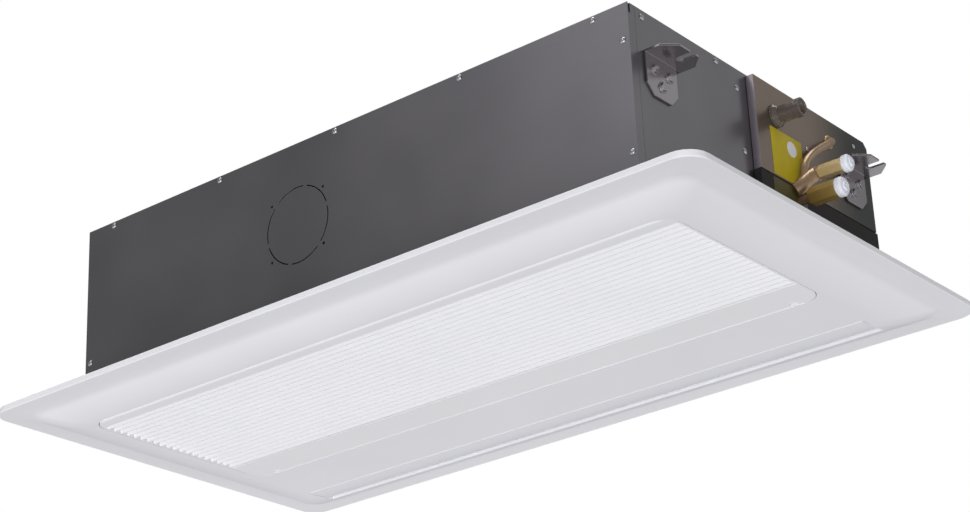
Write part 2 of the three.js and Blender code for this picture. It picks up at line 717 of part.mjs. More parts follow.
function fanRotor() {
  const blades = [];
  for (let i = 0; i < FAN.blades; i += 1) {
    blades.push(alongX(bladeOutline((i * Math.PI * 2) / FAN.blades), FAN_FROM + 1, FAN_TO - 1));
  }
  const rings = [];
  for (let i = 1; i < FAN.rings; i += 1) {
    const x = FAN_FROM + ((FAN_TO - FAN_FROM) * i) / FAN.rings;
    rings.push(turned("x", FAN.y, FAN.z, ringProfile(FAN.inner - 3, FAN.radius, x - 1.5, x + 1.5), 24));
  }
  const hub = 16;
  const ends = [
    rod("x", FAN.y, FAN.z, FAN.radius, FAN_FROM, FAN_FROM + 3, 24),
    rod("x", FAN.y, FAN.z, FAN.radius, FAN_TO - 3, FAN_TO, 24),
    rod("x", FAN.y, FAN.z, hub, FAN_FROM + 1, FAN_FROM + 14, 16),
  ];
  const shafts = [
    rod("x", FAN.y, FAN.z, SHAFT.radius, FAN_FROM - MOTOR.gap - 30, FAN_FROM + 2, 12),
    rod("x", FAN.y, FAN.z, SHAFT.radius, FAN_TO - 2, FAN_TO + 18, 12),
  ];
  return join(ends[0], blades, rings, ends.slice(1), shafts);
}

// A ring's section, closed on itself, for a turned piece.
function ringProfile(inner, outer, from, to) {
  return [[inner, from], [outer, from], [outer, to], [inner, to], [inner, from]];
}

function fanMotor() {
  const near = FAN_FROM - MOTOR.gap;
  const far = near - MOTOR.length;
  const body = turned("x", FAN.y, FAN.z, [
    [0, far],
    [MOTOR.radius * 0.6, far],
    [MOTOR.radius - 4, far + 8],
    [MOTOR.radius, far + 12],
    [MOTOR.radius, near - 12],
    [MOTOR.radius - 4, near - 8],
    [MOTOR.radius * 0.45, near],
    [0, near],
  ], 24);
  return cut(body, rod("x", FAN.y, FAN.z, SHAFT.radius + SHAFT.play, near - 31, near + 1, 16));
}

// Saddle over the motor, hung from the roof of the housing.
function motorSaddle() {
  const near = FAN_FROM - MOTOR.gap - 14;
  const far = near - MOTOR.length + 28;
  const wall = 3;
  const outer = MOTOR.radius + wall + SEAT;
  const strap = turned("x", FAN.y, FAN.z, ringProfile(MOTOR.radius + SEAT, outer, far, near), 24);
  const below = block([far - 1, near + 1], [FAN.y - 70, FAN.y + 70], [FAN.z - 70, FAN.z - 10]);
  const posts = [-1, 1].map((s) => block([far, near], [FAN.y + s * 20 - 2, FAN.y + s * 20 + 2], [FAN.z + outer - 6.5, CEILING]));
  const roof = block([far, near], [FAN.y - 40, FAN.y + 40], [CEILING - wall, CEILING]);
  return join(cut(strap, below), posts, roof);
}

function fanBearing() {
  const x = FAN_TO + 5.5;
  return turned("x", FAN.y, FAN.z, [
    [SHAFT.radius + SHAFT.play, x - 2.5],
    [13, x - 2.5],
    [13, x],
    [20, x],
    [20, x + 4],
    [13, x + 8],
    [SHAFT.radius + SHAFT.play, x + 8],
    [SHAFT.radius + SHAFT.play, x - 2.5],
  ], 20);
}

function fan() {
  add("fan_rotor", fanRotor(), "black");
  add("fan_motor", fanMotor(), "motor");
  add("motor_saddle", motorSaddle(), "steel");
  add("fan_bearing", fanBearing(), "black");
}

// ---------------------------------------------------------------- pipes and drain
function unionPiece(place, end) {
  const from = end + SEAT;
  const shoulder = rod("x", place.y, place.z, place.pipe + 2, from, from + 6, 12);
  const nut = alongX(hexOutline(place.y, place.z, place.nut), from + 4, from + 4 + place.nutLength);
  const thread = rod("x", place.y, place.z, place.nut - 3.5, from + 3 + place.nutLength, from + 12 + place.nutLength, 16);
  return join(shoulder, nut, thread);
}

// A plastic cap pushed over the end of the thread, with a bevelled rim and a raised middle.
function capPiece(place, end) {
  const from = end + place.nutLength + 4 + 2 * SEAT;
  const bore = place.nut - 3.5 + SEAT;
  return turned("x", place.y, place.z, [
    [bore, from],
    [place.cap - 1.5, from],
    [place.cap, from + 1.5],
    [place.cap, from + 7.5],
    [place.cap - 2, from + 10],
    [place.cap * 0.55, from + 11],
    [0, from + 11],
    [0, from + 8.5],
    [bore, from + 8.5],
    [bore, from],
  ], 18);
}

function gasPipe() {
  const [y, z] = tubeAt(1, TUBE.count - 1);
  const start = COIL_ENDS[1] + SEAT + 2 + SEAT;
  return bar([
    [start, y, z],
    [start + 24, y, z],
    [start + 54, y + 14, z - 18],
    [END - 50, GAS.y - 2, GAS.z + 57],
    [END - 30, GAS.y - 2, GAS.z + 21],
    [END - 16, GAS.y, GAS.z + 1],
    [END - 8, GAS.y, GAS.z],
    [END - 2, GAS.y, GAS.z],
    [GAS_END, GAS.y, GAS.z],
  ], GAS.pipe, 22, 4);
}

function liquidPipe() {
  const [y, z] = tubeAt(0, TUBE.count - 1);
  const start = COIL_ENDS[1] + SEAT + 2 + SEAT;
  const pipe = bar([
    [start, y, z],
    [start + 20, y, z + 1],
    [start + 38, y + 22, z + 20],
    [start + 54, y + 60, z + 20],
    [END - 48, PORT.y - 30, PORT_Z + 6],
    [END - 24, PORT.y - 4, PORT_Z + 1],
    [END - 4, PORT.y, PORT_Z],
    [COVER_FACE + 2, PORT.y, PORT_Z],
    [COVER_FACE + 7, PORT.y - 4, PORT_Z - 3],
    [COVER_FACE + 10, PORT.y - 16, PORT_Z - 11],
    [COVER_FACE + 10, PORT.y - 42, PORT_Z - 28],
    [COVER_FACE + 10, LIQUID.y + 8, LIQUID.z + 35],
    [COVER_FACE + 10, LIQUID.y - 8, LIQUID.z + 19],
    [COVER_FACE + 10, LIQUID.y - 15, LIQUID.z + 5],
    [COVER_FACE + 9, LIQUID.y - 16, LIQUID.z - 5],
    [COVER_FACE + 9, LIQUID.y - 15, LIQUID.z - 12],
  ], LIQUID.pipe - 0.3, 32, 4);
  return join(pipe, liquidElbow());
}

// Fat elbow that stands on the cover and turns out into the union.
function liquidElbow() {
  const bend = bar([
    [COVER_FACE - 5, LIQUID.y - 29, LIQUID.z - 31.5],
    [COVER_FACE + 2, LIQUID.y - 23, LIQUID.z - 25.5],
    [COVER_FACE + 8, LIQUID.y - 16, LIQUID.z - 15],
    [COVER_FACE + 12, LIQUID.y - 7, LIQUID.z - 4.5],
    [LIQUID_END - 4, LIQUID.y, LIQUID.z],
    [LIQUID_END - 2, LIQUID.y, LIQUID.z],
    [LIQUID_END, LIQUID.y, LIQUID.z],
  ], LIQUID.elbow, 14, 5);
  const wide = [0, 2 * LIQUID.z];
  return cut(bend, block([END, COVER_FACE + SEAT], wide, wide));
}

function drainOutlet() {
  const tip = COVER_FACE + DRAIN.reach;
  return turned("x", DRAIN.y, DRAIN_Z, [
    [DRAIN.bore, END - 9],
    [DRAIN.radius, END - 9],
    [DRAIN.radius, COVER_FACE + SEAT],
    [DRAIN.flange, COVER_FACE + SEAT],
    [DRAIN.flange, COVER_FACE + 4],
    [DRAIN.radius + 1, COVER_FACE + 8],
    [DRAIN.radius, COVER_FACE + 9],
    [DRAIN.radius, tip - 10],
    [DRAIN.radius + 1.2, tip - 9],
    [DRAIN.radius + 1.2, tip],
    [DRAIN.bore + 1, tip],
    [DRAIN.bore, tip - 3],
    [DRAIN.bore, END - 9],
  ], 18);
}

function drainPump() {
  const foot = PAN.floor + 4;
  const top = PAN.floor + 56;
  const body = turned("z", PUMP_X, PUMP.y, [
    [0, foot],
    [13, foot],
    [13, foot + 12],
    [PUMP.radius, foot + 16],
    [PUMP.radius, top - 18],
    [PUMP.radius - 5, top - 16],
    [PUMP.radius - 5, top - 3],
    [PUMP.radius - 8, top],
    [0, top],
  ], 20);
  const side = PUMP.y - PUMP.radius;
  const spigot = alongY(circleOutline(PUMP_X, PAN.floor + PUMP.spigot, 6), side - PUMP.spigotReach, side + 3, 5);
  return join(body, spigot);
}

function pumpHose() {
  const y = PUMP.y - PUMP.radius - PUMP.spigotReach - SEAT;
  const z = PAN.floor + PUMP.spigot;
  return bar([
    [PUMP_X, y, z],
    [PUMP_X, y - 4, z],
    [PUMP_X, y - 12, z + 4],
    [PUMP_X, y - 22, z + 28],
    [PUMP_X + 2, y - 20, DRAIN_Z - 34],
    [PUMP_X + 12, DRAIN.y - 6, DRAIN_Z - 6],
    [PUMP_X + 26, DRAIN.y, DRAIN_Z],
    [END - 9 - SEAT, DRAIN.y, DRAIN_Z],
  ], 9, 16, 4);
}

// Guide stem of the float, with a stop under the float and an arm that reaches the pump.
function floatSwitch() {
  const foot = PAN.floor + 3;
  const top = foot + 3 + FLOAT.height + FLOAT.travel + 6;
  const stem = turned("z", FLOAT_X, FLOAT.y, [
    [0, foot],
    [FLOAT.stem + 3, foot],
    [FLOAT.stem + 3, foot + 3],
    [FLOAT.stem, foot + 3],
    [FLOAT.stem, top],
    [0, top],
  ], 12);
  const arm = block([FLOAT_X - 5, PUMP_X - PUMP.radius + 5 - SEAT], [FLOAT.y - 5, FLOAT.y + 5], [top - 1, top + 3]);
  const drop = block([PUMP_X - PUMP.radius + 2, PUMP_X - PUMP.radius + 5 - SEAT], [FLOAT.y - 5, FLOAT.y + 5], [top - 2, top]);
  return join(stem, arm, drop);
}

function floatRing() {
  const low = PAN.floor + 6 + SEAT;
  return turned("z", FLOAT_X, FLOAT.y, [
    [FLOAT.stem + 0.5, low],
    [FLOAT.radius - 2, low],
    [FLOAT.radius, low + 2],
    [FLOAT.radius, low + FLOAT.height - 2],
    [FLOAT.radius - 2, low + FLOAT.height],
    [FLOAT.stem + 0.5, low + FLOAT.height],
    [FLOAT.stem + 0.5, low],
  ], 16);
}

function pipework() {
  add("gas_pipe", gasPipe(), "copper");
  add("liquid_pipe", liquidPipe(), "copper");
  add("gas_union", unionPiece(GAS, GAS_END), "brass");
  add("liquid_union", unionPiece(LIQUID, LIQUID_END), "brass");
  add("gas_cap", capPiece(GAS, GAS_END), "cap");
  add("liquid_cap", capPiece(LIQUID, LIQUID_END), "cap");
  add("drain_outlet", drainOutlet(), "dark");
  add("drain_pump", drainPump(), "black");
  add("pump_hose", pumpHose(), "black");
  add("float_switch", floatSwitch(), "white");
  add("float_ring", floatRing(), "white");
}

// ---------------------------------------------------------------- control box
function controlBox() {
  const { y0, y1, wall } = CONTROL;
  const [x0, x1] = CONTROL_X;
  const [z0, z1] = CONTROL_Z;
  const box = block([x0, x1], [y0, y1], [z0, z1]);
  const tray = cut(box, block([x0 + wall, x1 - wall], [y0 + wall, y1 - wall], [z0 - 1, z1 - wall]));
  const feet = [x0 + 20, x1 - 32].map((x) => block([x, x + 12], [y0 + 20, y1 - 20], [z1 - 0.5, CEILING]));
  return join(tray, feet);
}

function controlInside() {
  const { y0, y1, wall } = CONTROL;
  const [x0, x1] = CONTROL_X;
  const roof = CONTROL_Z[1] - wall;
  const board = block([x0 + 8, x1 - 8], [y0 + 40, y1 - 6], [roof - 12, roof - 10]);
  const pillars = [x0 + 14, x1 - 14].map((x) => rod("z", x, y0 + 60, 3, roof - 10.5, roof - SEAT, 8));
  const chips = [20, 52, 84].map((dx) => block([x0 + dx, x0 + dx + 18], [y1 - 60, y1 - 30], [roof - 24, roof - 11]));
  const base = block([x0 + 16, x1 - 16], [y0 + 8, y0 + 30], [roof - 18, roof - SEAT]);
  const slots = [0, 1, 2, 3].map((i) => block([x0 + 24 + i * 20, x0 + 36 + i * 20], [y0 + 4, y0 + 19], [roof - 20, roof - 8]));
  return { board: join(board, pillars, chips), terminals: cut(base, slots) };
}

function controls() {
  const { y0, y1 } = CONTROL;
  const [x0, x1] = CONTROL_X;
  const [z0] = CONTROL_Z;
  const inside = controlInside();
  const lid = join(
    block([x0 - 1, x1 + 1], [y0 - 1, y1 + 1], [z0 - 2, z0 - SEAT]),
    block([x1 + 0.3, x1 + 1.5], [y0 + 10, y1 - 10], [z0 - 2, z0 + 12]),
  );
  add("control_box", controlBox(), "steel");
  add("control_lid", lid, "steel");
  add("control_board", inside.board, "board");
  add("terminal_block", inside.terminals, "black");
}

// ---------------------------------------------------------------- panel
function crownRings(stepDown, stepIn) {
  const rings = [];
  const steps = 6;
  for (let i = 0; i <= steps; i += 1) {
    const t = i / steps;
    const inset = PANEL.cove * t;
    const z = -PANEL.rimDrop - PANEL.crown * (1 - (1 - t) ** 2) + stepDown;
    const radius = 26 - 9 * t;
    rings.push(ring(RIM.halfX - inset - stepIn, RIM.halfY - inset - stepIn, radius, z));
  }
  return rings;
}

function panelOuter() {
  const x = PANEL.length / 2;
  const y = PANEL.width / 2;
  const edge = 1.6;
  return loft([
    ring(x - PANEL.draft, y - PANEL.draft, PANEL.corner, 0),
    ring(x, y, PANEL.corner, -PANEL.rimDrop + edge),
    ring(x - edge * 0.4, y - edge * 0.4, PANEL.corner, -PANEL.rimDrop + edge * 0.3),
    ring(x - edge, y - edge, PANEL.corner - edge, -PANEL.rimDrop),
    ...crownRings(0, 0),
  ]);
}

function panelInner() {
  const x = PANEL.length / 2 - PANEL.draft - PANEL.wall;
  const y = PANEL.width / 2 - PANEL.draft - PANEL.wall;
  const corner = PANEL.corner - PANEL.wall;
  return loft([
    ring(x, y, corner, 1),
    ring(x, y, corner, -PANEL.rimDrop + PANEL.wall),
    ...crownRings(PANEL.wall, 0.5),
  ]);
}

const doorOutline = (grow) =>
  roundedOutline(DOOR_X, (DOOR_NEAR + DOOR_FAR) / 2, DOOR_HALF + grow, DOOR.width / 2 + grow, DOOR.corner + grow);

function flapSpan(grow) {
  return [FLAP_X - FLAP_HALF - grow, FLAP_X + FLAP_HALF + grow];
}

function flapWindow(grow) {
  return [FLAP.near - FLAP.gap - grow, FLAP_FAR + FLAP.farGap + grow];
}

function catchPlaces() {
  return [-1, 1].map((s) => DOOR_X + s * (DOOR_HALF - CATCH.inset));
}

function panelFrame() {
  const outer = panelOuter();
  const shell = cut(outer, panelInner());
  const deep = -60;
  const collarTop = -2;
  const doorCollar = cut(
    alongZ(doorOutline(DOOR.gap + COLLAR), PLATEAU, collarTop),
    alongZ(doorOutline(DOOR.gap), deep, 10),
  );
  const duct = cut(
    block(flapSpan(FLAP.gap + COLLAR), flapWindow(COLLAR), [PLATEAU, BODY.bottom - SEAT]),
    block(flapSpan(FLAP.gap), flapWindow(0), [deep, 20]),
  );
  const ribs = [];
  for (let x = -420; x <= 420; x += 120) {
    ribs.push(block([x - 1, x + 1], [DOOR_FAR + DOOR.gap + 1, FLAP.near - FLAP.gap - 1], [PLATEAU + 1, -12]));
  }
  const corners = [-1, 1].flatMap((sx) => [-1, 1].map((sy) => [sx * (END - BOSS.inset), sy * (SIDE - BOSS.inset)]));
  const bosses = corners.map(([x, y]) => rod("z", x, y, BOSS.radius, PLATEAU + 1, BODY.bottom - SEAT, 12));
  const collarFace = DOOR_HALF + DOOR.gap;
  const hingeBosses = [-1, 1].map((s) => hingeRod(s, HINGE.boss, collarFace + 1, collarFace + COLLAR + 3));
  const walls = join(doorCollar, duct, ribs, bosses, hingeBosses).intersect(join(outer, block([-700, 700], [-400, 400], [-0.5, 50])));
  const whole = cut(
    join(shell, walls),
    alongZ(doorOutline(DOOR.gap), deep, 10),
    block(flapSpan(FLAP.gap), flapWindow(0), [deep, 20]),
  );
  const boreEnd = collarFace + COLLAR + HINGE.depth;
  const hingeBores = [-1, 1].map((s) => hingeRod(s, HINGE.pin + HINGE.play, collarFace - 1, boreEnd));
  const catchMouths = catchPlaces().map((x) =>
    block(
      [x - CATCH.width / 2 - 0.5, x + CATCH.width / 2 + 0.5],
      [DOOR_FAR - 1, DOOR_FAR + DOOR.gap + COLLAR + 1],
      [PLATEAU + DOOR.wall + SEAT - 0.4, PLATEAU + DOOR.wall + CATCH.height + 1],
    ),
  );
  const flapBores = rod("x", FLAP_PIVOT.y, FLAP_PIVOT.z, FLAP.pin + HINGE.play, flapSpan(10)[0], flapSpan(10)[1], 16);
  const flapBoreWalls = cut(flapBores, block(flapSpan(0), [200, 240], [-40, 20]));
  const duct0 = flapSpan(FLAP.gap + COLLAR)[0];
  const motorZ = FLAP_PIVOT.z + FLAPMOTOR.up;
  const motorSeat = rod("x", FLAP_PIVOT.y, motorZ, FLAPMOTOR.radius + SEAT + 0.2, duct0 - FLAPMOTOR.length - 1, duct0, 18);
  return cut(whole, hingeBores, catchMouths, flapBoreWalls, motorSeat);
}

// ---------------------------------------------------------------- grille door
function slatOutline(y) {
  const low = PLATEAU - SLAT.proud;
  const high = PLATEAU + SLAT.rise;
  const near = y - SLAT.lean / 2;
  const far = y + SLAT.lean / 2;
  return outline([[far, low], [far + SLAT.thick, low], [near + SLAT.thick, high], [near, high]]);
}

// The door's section across its width, with its near lower edge rounded.
function doorSection() {
  const high = PLATEAU + DOOR.lip + 5;
  const shape = new THREE.Shape();
  shape.moveTo(DOOR_NEAR + DOOR.round, PLATEAU);
  shape.lineTo(DOOR_FAR + 5, PLATEAU);
  shape.lineTo(DOOR_FAR + 5, high);
  shape.lineTo(DOOR_NEAR, high);
  shape.absarc(DOOR_NEAR + DOOR.round, PLATEAU + DOOR.round, DOOR.round, Math.PI, Math.PI * 1.5);
  return shape;
}

function grilleDoor() {
  const top = PLATEAU + DOOR.lip;
  const shell = cut(
    alongZ(doorOutline(0), PLATEAU, top).intersect(alongX(doorSection(), -PANEL.length, PANEL.length, 5)),
    alongZ(doorOutline(-DOOR.wall), PLATEAU + DOOR.wall, top + 1),
  );
  const slatX = [DOOR_X - DOOR_HALF + 3.5, DOOR_X + DOOR_HALF - 3.5];
  const last = SLAT_FIRST + (SLAT.count - 1) * SLAT_PITCH;
  const slotY = [SLAT_FIRST - SLAT_PITCH + SLAT.lean / 2 + SLAT.thick, last + SLAT_PITCH / 2 + SLAT.thick];
  const opened = cut(shell, block(slatX, slotY, [PLATEAU - 1, PLATEAU + DOOR.wall + 0.5]));
  const slats = [];
  for (let i = 0; i < SLAT.count; i += 1) {
    slats.push(alongX(slatOutline(SLAT_FIRST + i * SLAT_PITCH - SLAT.lean / 2), slatX[0] - 1.5, slatX[1] + 1.5));
  }
  const ribs = [];
  for (let i = 1; i <= SLAT.ribs; i += 1) {
    const x = slatX[0] + ((slatX[1] - slatX[0]) * i) / (SLAT.ribs + 1);
    ribs.push(block([x - 1, x + 1], [slotY[0] - 2, slotY[1] + 2], [PLATEAU + 5, top]));
  }
  const pinEnd = DOOR_HALF + DOOR.gap + COLLAR + HINGE.depth - 0.5;
  const pins = [-1, 1].map((s) => hingeRod(s, HINGE.pin, DOOR_HALF - DOOR.wall + 0.5, pinEnd));
  const clips = [];
  for (const s of [-1, 1]) {
    for (const y of [DOOR_NEAR + FILTER.near + 60, DOOR_FAR - FILTER.far - 60]) {
      clips.push(filterClip(s, y));
    }
  }
  return cut(join(opened, slats, ribs, pins, clips), catchCuts());
}

// A round piece on the door's hinge line, between two distances from the door's middle.
function hingeRod(s, radius, from, to) {
  const ends = [DOOR_X + s * from, DOOR_X + s * to].sort((a, b) => a - b);
  return rod("x", HINGE_Y, HINGE_Z, radius, ...ends, 14);
}

// Hook that holds the filter's short side.
function filterClip(s, y) {
  const wallX = DOOR_X + s * (DOOR_HALF - DOOR.wall + 0.5);
  const top = PLATEAU + DOOR.lip + SEAT + FILTER.thick + SEAT;
  const holdX = DOOR_X + s * (FILTER_HALF - 4);
  const standX = DOOR_X + s * (FILTER_HALF + 2);
  const arm = block([Math.min(holdX, wallX), Math.max(holdX, wallX)], [y - 8, y + 8], [top, top + 1.6]);
  const stand = block([Math.min(standX, wallX), Math.max(standX, wallX)], [y - 8, y + 8], [PLATEAU + 4, top + 0.5]);
  return join(stand, arm);
}

function catchCuts() {
  return catchPlaces().flatMap((x) => [
    block(
      [x - CATCH.width / 2 - 0.5, x + CATCH.width / 2 + 0.5],
      [DOOR_FAR - DOOR.wall - 1, DOOR_FAR + 1],
      [PLATEAU + DOOR.wall, PLATEAU + DOOR.wall + CATCH.height + 1],
    ),
    block(
      [x - CATCH.thumb / 2 - 0.6, x + CATCH.thumb / 2 + 0.6],
      [catchThumbY() - 0.6, catchThumbY() + 3 + CATCH.travel + 0.6],
      [PLATEAU - 1, PLATEAU + DOOR.wall + 0.1],
    ),
  ]);
}

function catchThumbY() {
  return DOOR_FAR - 0.8 - CATCH.depth - 2;
}

// Sliding catch, drawn at rest in its released place.
function doorCatch(x) {
  const far = DOOR_FAR - 0.8;
  const low = PLATEAU + DOOR.wall + SEAT;
  const slider = block([x - CATCH.width / 2, x + CATCH.width / 2], [far - CATCH.depth - 4, far], [low, low + CATCH.height]);
  const thumb = block([x - CATCH.thumb / 2, x + CATCH.thumb / 2], [catchThumbY(), catchThumbY() + 3], [PLATEAU, low + 1]);
  return join(slider, thumb);
}

function filter() {
  const x = [DOOR_X - FILTER_HALF, DOOR_X + FILTER_HALF];
  const y = [DOOR_NEAR + FILTER.near, DOOR_FAR - FILTER.far];
  const low = PLATEAU + DOOR.lip + SEAT;
  const cellX = (x[1] - x[0] - FILTER.frame * 2 - FILTER.bars * (FILTER.columns - 1)) / FILTER.columns;
  const cellY = (y[1] - y[0] - FILTER.frame * 2 - FILTER.bars * (FILTER.rows - 1)) / FILTER.rows;
  const cells = [];
  for (let i = 0; i < FILTER.columns; i += 1) {
    for (let j = 0; j < FILTER.rows; j += 1) {
      const cx = x[0] + FILTER.frame + i * (cellX + FILTER.bars);
      const cy = y[0] + FILTER.frame + j * (cellY + FILTER.bars);
      cells.push(block([cx, cx + cellX], [cy, cy + cellY], [low - 1, low + FILTER.thick + 1]));
    }
  }
  return cut(block(x, y, [low, low + FILTER.thick]), cells);
}

// ---------------------------------------------------------------- outlet flap
function flapPiece() {
  const steps = 6;
  const face = [];
  const back = [];
  for (let i = 0; i <= steps; i += 1) {
    const t = i / steps;
    const y = FLAP.near + FLAP.width * t;
    const inset = PANEL.y + RIM.halfY - y;
    const crown = PANEL.crown * (1 - Math.max(0, 1 - inset / PANEL.cove) ** 2);
    const z = -PANEL.rimDrop - crown + FLAP.recess * t * t;
    const thick = 1.6 + (FLAP.thick - 1.6) * Math.sin(Math.PI * Math.min(1, t + 0.12));
    face.push([y, z]);
    back.push([y, z + thick]);
  }
  face[0] = [FLAP.near + 1, PLATEAU];
  back[0] = [FLAP.near, PLATEAU + 1.6];
  const vane = alongX(outline([...face, ...back.reverse()]), ...flapSpan(0));
  const [left, right] = flapSpan(0);
  const eyes = [[left, left + 4], [right - 4, right]].map(([a, b]) =>
    rod("x", FLAP_PIVOT.y, FLAP_PIVOT.z, 4, a, b, 14),
  );
  const pins = [[left - FLAP.gap - COLLAR - 5, left + 1], [right - 1, right + FLAP.gap + COLLAR + 2]].map(([a, b]) =>
    rod("x", FLAP_PIVOT.y, FLAP_PIVOT.z, FLAP.pin, a, b, 12),
  );
  return join(vane, eyes, pins);
}

function flapMotor() {
  const near = flapSpan(FLAP.gap + COLLAR)[0] - SEAT;
  const z = FLAP_PIVOT.z + FLAPMOTOR.up;
  const body = rod("x", FLAP_PIVOT.y, z, FLAPMOTOR.radius, near - FLAPMOTOR.length, near, 18);
  const tab = block([near - 2, near], [FLAP_PIVOT.y - FLAPMOTOR.tab, FLAP_PIVOT.y + FLAPMOTOR.tab], [z - 2, z + 2]);
  const bore = rod("x", FLAP_PIVOT.y, FLAP_PIVOT.z, FLAP.pin + HINGE.play, near - 6, near + 1, 14);
  return cut(join(body, tab), bore);
}

function panel() {
  add("panel_frame", panelFrame(), "white");
  add("grille_door", grilleDoor(), "grille");
  const [left, right] = catchPlaces();
  add("catch_left", doorCatch(left), "white");
  add("catch_right", doorCatch(right), "white");
  add("air_filter", filter(), "black");
  add("outlet_flap", flapPiece(), "white");
  add("flap_motor", flapMotor(), "black");
}

casing();
hangers();
airHousing();
coil();
fan();
pipework();
controls();
panel();

export default unit;
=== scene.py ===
"""Ceiling cassette air conditioner: the finish of every surface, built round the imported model.

Lengths are metres unless a comment says millimetres. The axes are the part's own: +X towards the
pipes, +Y towards the outlet flap, +Z up.
"""

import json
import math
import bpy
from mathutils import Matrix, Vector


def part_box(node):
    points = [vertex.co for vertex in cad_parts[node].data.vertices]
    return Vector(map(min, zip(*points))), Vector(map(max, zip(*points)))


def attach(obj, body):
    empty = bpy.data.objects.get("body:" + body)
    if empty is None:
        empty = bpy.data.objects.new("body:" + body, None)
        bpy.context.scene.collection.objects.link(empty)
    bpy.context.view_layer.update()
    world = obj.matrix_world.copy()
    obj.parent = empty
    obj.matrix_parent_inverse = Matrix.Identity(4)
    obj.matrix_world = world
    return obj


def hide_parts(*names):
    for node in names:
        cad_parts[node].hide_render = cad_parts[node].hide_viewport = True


bl_info = {
    "name": "Ceiling cassette",
    "version": (1, 0, 0),
    "blender": (4, 5, 0),
    "location": "3D View > Sidebar > Cassette",
    "description": "Finishes the panel, casing, pipes and inner parts of a ceiling cassette",
    "category": "Object",
}

import bmesh
import bpy
from bpy.props import FloatProperty, FloatVectorProperty, IntProperty, PointerProperty
from mathutils import Matrix, Vector

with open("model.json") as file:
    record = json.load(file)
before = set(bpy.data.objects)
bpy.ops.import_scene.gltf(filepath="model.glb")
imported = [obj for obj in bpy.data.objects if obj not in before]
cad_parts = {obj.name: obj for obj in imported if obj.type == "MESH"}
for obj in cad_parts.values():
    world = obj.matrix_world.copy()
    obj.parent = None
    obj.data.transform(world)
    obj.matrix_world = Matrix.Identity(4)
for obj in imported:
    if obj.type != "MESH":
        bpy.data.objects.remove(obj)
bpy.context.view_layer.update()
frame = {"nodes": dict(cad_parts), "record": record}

MM = 0.001
BODIES = frame["record"]["behaviour"]["bodies"]
BODY_OF = {node: body for body, nodes in BODIES.items() for node in nodes}
SLOT_OF = {part["node"]: part["material_slot"] for part in frame["record"]["subparts"]}

ALONG_X = Vector((1, 0, 0))
ALONG_Z = Vector((0, 0, 1))
QUARTER_TURN = math.radians(90)

# The Mix node's colour sockets share their names with others, so they are picked by number.
MIX_FIRST, MIX_SECOND, MIX_RESULT = 6, 7, 2
NOISE_ROUGHNESS = 0.55


# ---------------------------------------------------------------- colours and nodes
def linear(code):
    """An sRGB hex colour as linear red, green, blue and alpha."""
    values = [int(code[i : i + 2], 16) / 255 for i in (1, 3, 5)]
    return [v / 12.92 if v <= 0.04045 else ((v + 0.055) / 1.055) ** 2.4 for v in values] + [1.0]


def darker(colour, kept):
    """A linear colour with the kept part of its light."""
    return [v * kept for v in colour[:3]] + [1.0]


def add_node(tree, kind, links=None, **settings):
    """A node with its settings; links gives each input a value, or the output joined to it."""
    made = tree.nodes.new(kind)
    for name, value in settings.items():
        setattr(made, name, value)
    for key, value in (links or {}).items():
        socket = made.inputs[key]
        if isinstance(value, bpy.types.NodeSocket):
            tree.links.new(value, socket)
        else:
            socket.default_value = value
    return made


def new_material(name, colour, rough, metal=0.0, **sockets):
    """A material with its Principled shader; returns the material, its tree and the shader."""
    made = bpy.data.materials.new(name)
    made.use_nodes = True
    made.diffuse_color = colour
    tree = made.node_tree
    shader = tree.nodes["Principled BSDF"]
    shader.inputs["Base Color"].default_value = colour
    shader.inputs["Roughness"].default_value = rough
    shader.inputs["Metallic"].default_value = metal
    for key, value in sockets.items():
        shader.inputs[key.replace("_", " ")].default_value = value
    return made, tree, shader


def surface(
    name,
    tints,
    rough,
    cloud,
    grain=None,
    blend=(0.0, 1.0),
    dulling=None,
    relief=None,
    **sockets,
):
    """A material in two tints, with a cloud and a finer grain over it.

    The cloud and the grain are each (size of a blotch in millimetres, detail, how far it is drawn
    out along each axis). The cloud mixes the tints, between the two parts of blend. The grain, or
    the cloud where there is none, takes the roughness between the two values of dulling and raises
    the relief, which is (depth in millimetres, strength).
    """
    made, tree, shader = new_material(name, tints[0], rough, **sockets)
    place = add_node(tree, "ShaderNodeTexCoord").outputs["Object"]
    factors = []
    for size, detail, stretch in (cloud, grain) if grain else (cloud,):
        drawn_out = add_node(
            tree, "ShaderNodeMapping", {"Vector": place, "Scale": [1 / s for s in stretch]}
        )
        blotches = add_node(
            tree,
            "ShaderNodeTexNoise",
            {
                "Vector": drawn_out.outputs["Vector"],
                "Scale": 1 / (size * MM),
                "Detail": detail,
                "Roughness": NOISE_ROUGHNESS,
            },
        )
        factors.append(blotches.outputs["Fac"])
    part = add_node(
        tree, "ShaderNodeMapRange", {"Value": factors[0], "To Min": blend[0], "To Max": blend[1]}
    )
    tint = add_node(
        tree,
        "ShaderNodeMix",
        {"Factor": part.outputs["Result"], MIX_FIRST: tints[0], MIX_SECOND: tints[1]},
        data_type="RGBA",
    )
    tree.links.new(tint.outputs[MIX_RESULT], shader.inputs["Base Color"])
    if dulling:
        dulled = add_node(
            tree,
            "ShaderNodeMapRange",
            {"Value": factors[-1], "To Min": dulling[0], "To Max": dulling[1]},
        )
        tree.links.new(dulled.outputs["Result"], shader.inputs["Roughness"])
    if relief:
        raised = add_node(
            tree,
            "ShaderNodeBump",
            {"Height": factors[-1], "Distance": relief[0] * MM, "Strength": relief[1]},
        )
        tree.links.new(raised.outputs["Normal"], shader.inputs["Normal"])
    return made


# ---------------------------------------------------------------- materials
EVEN = (1, 1, 1)


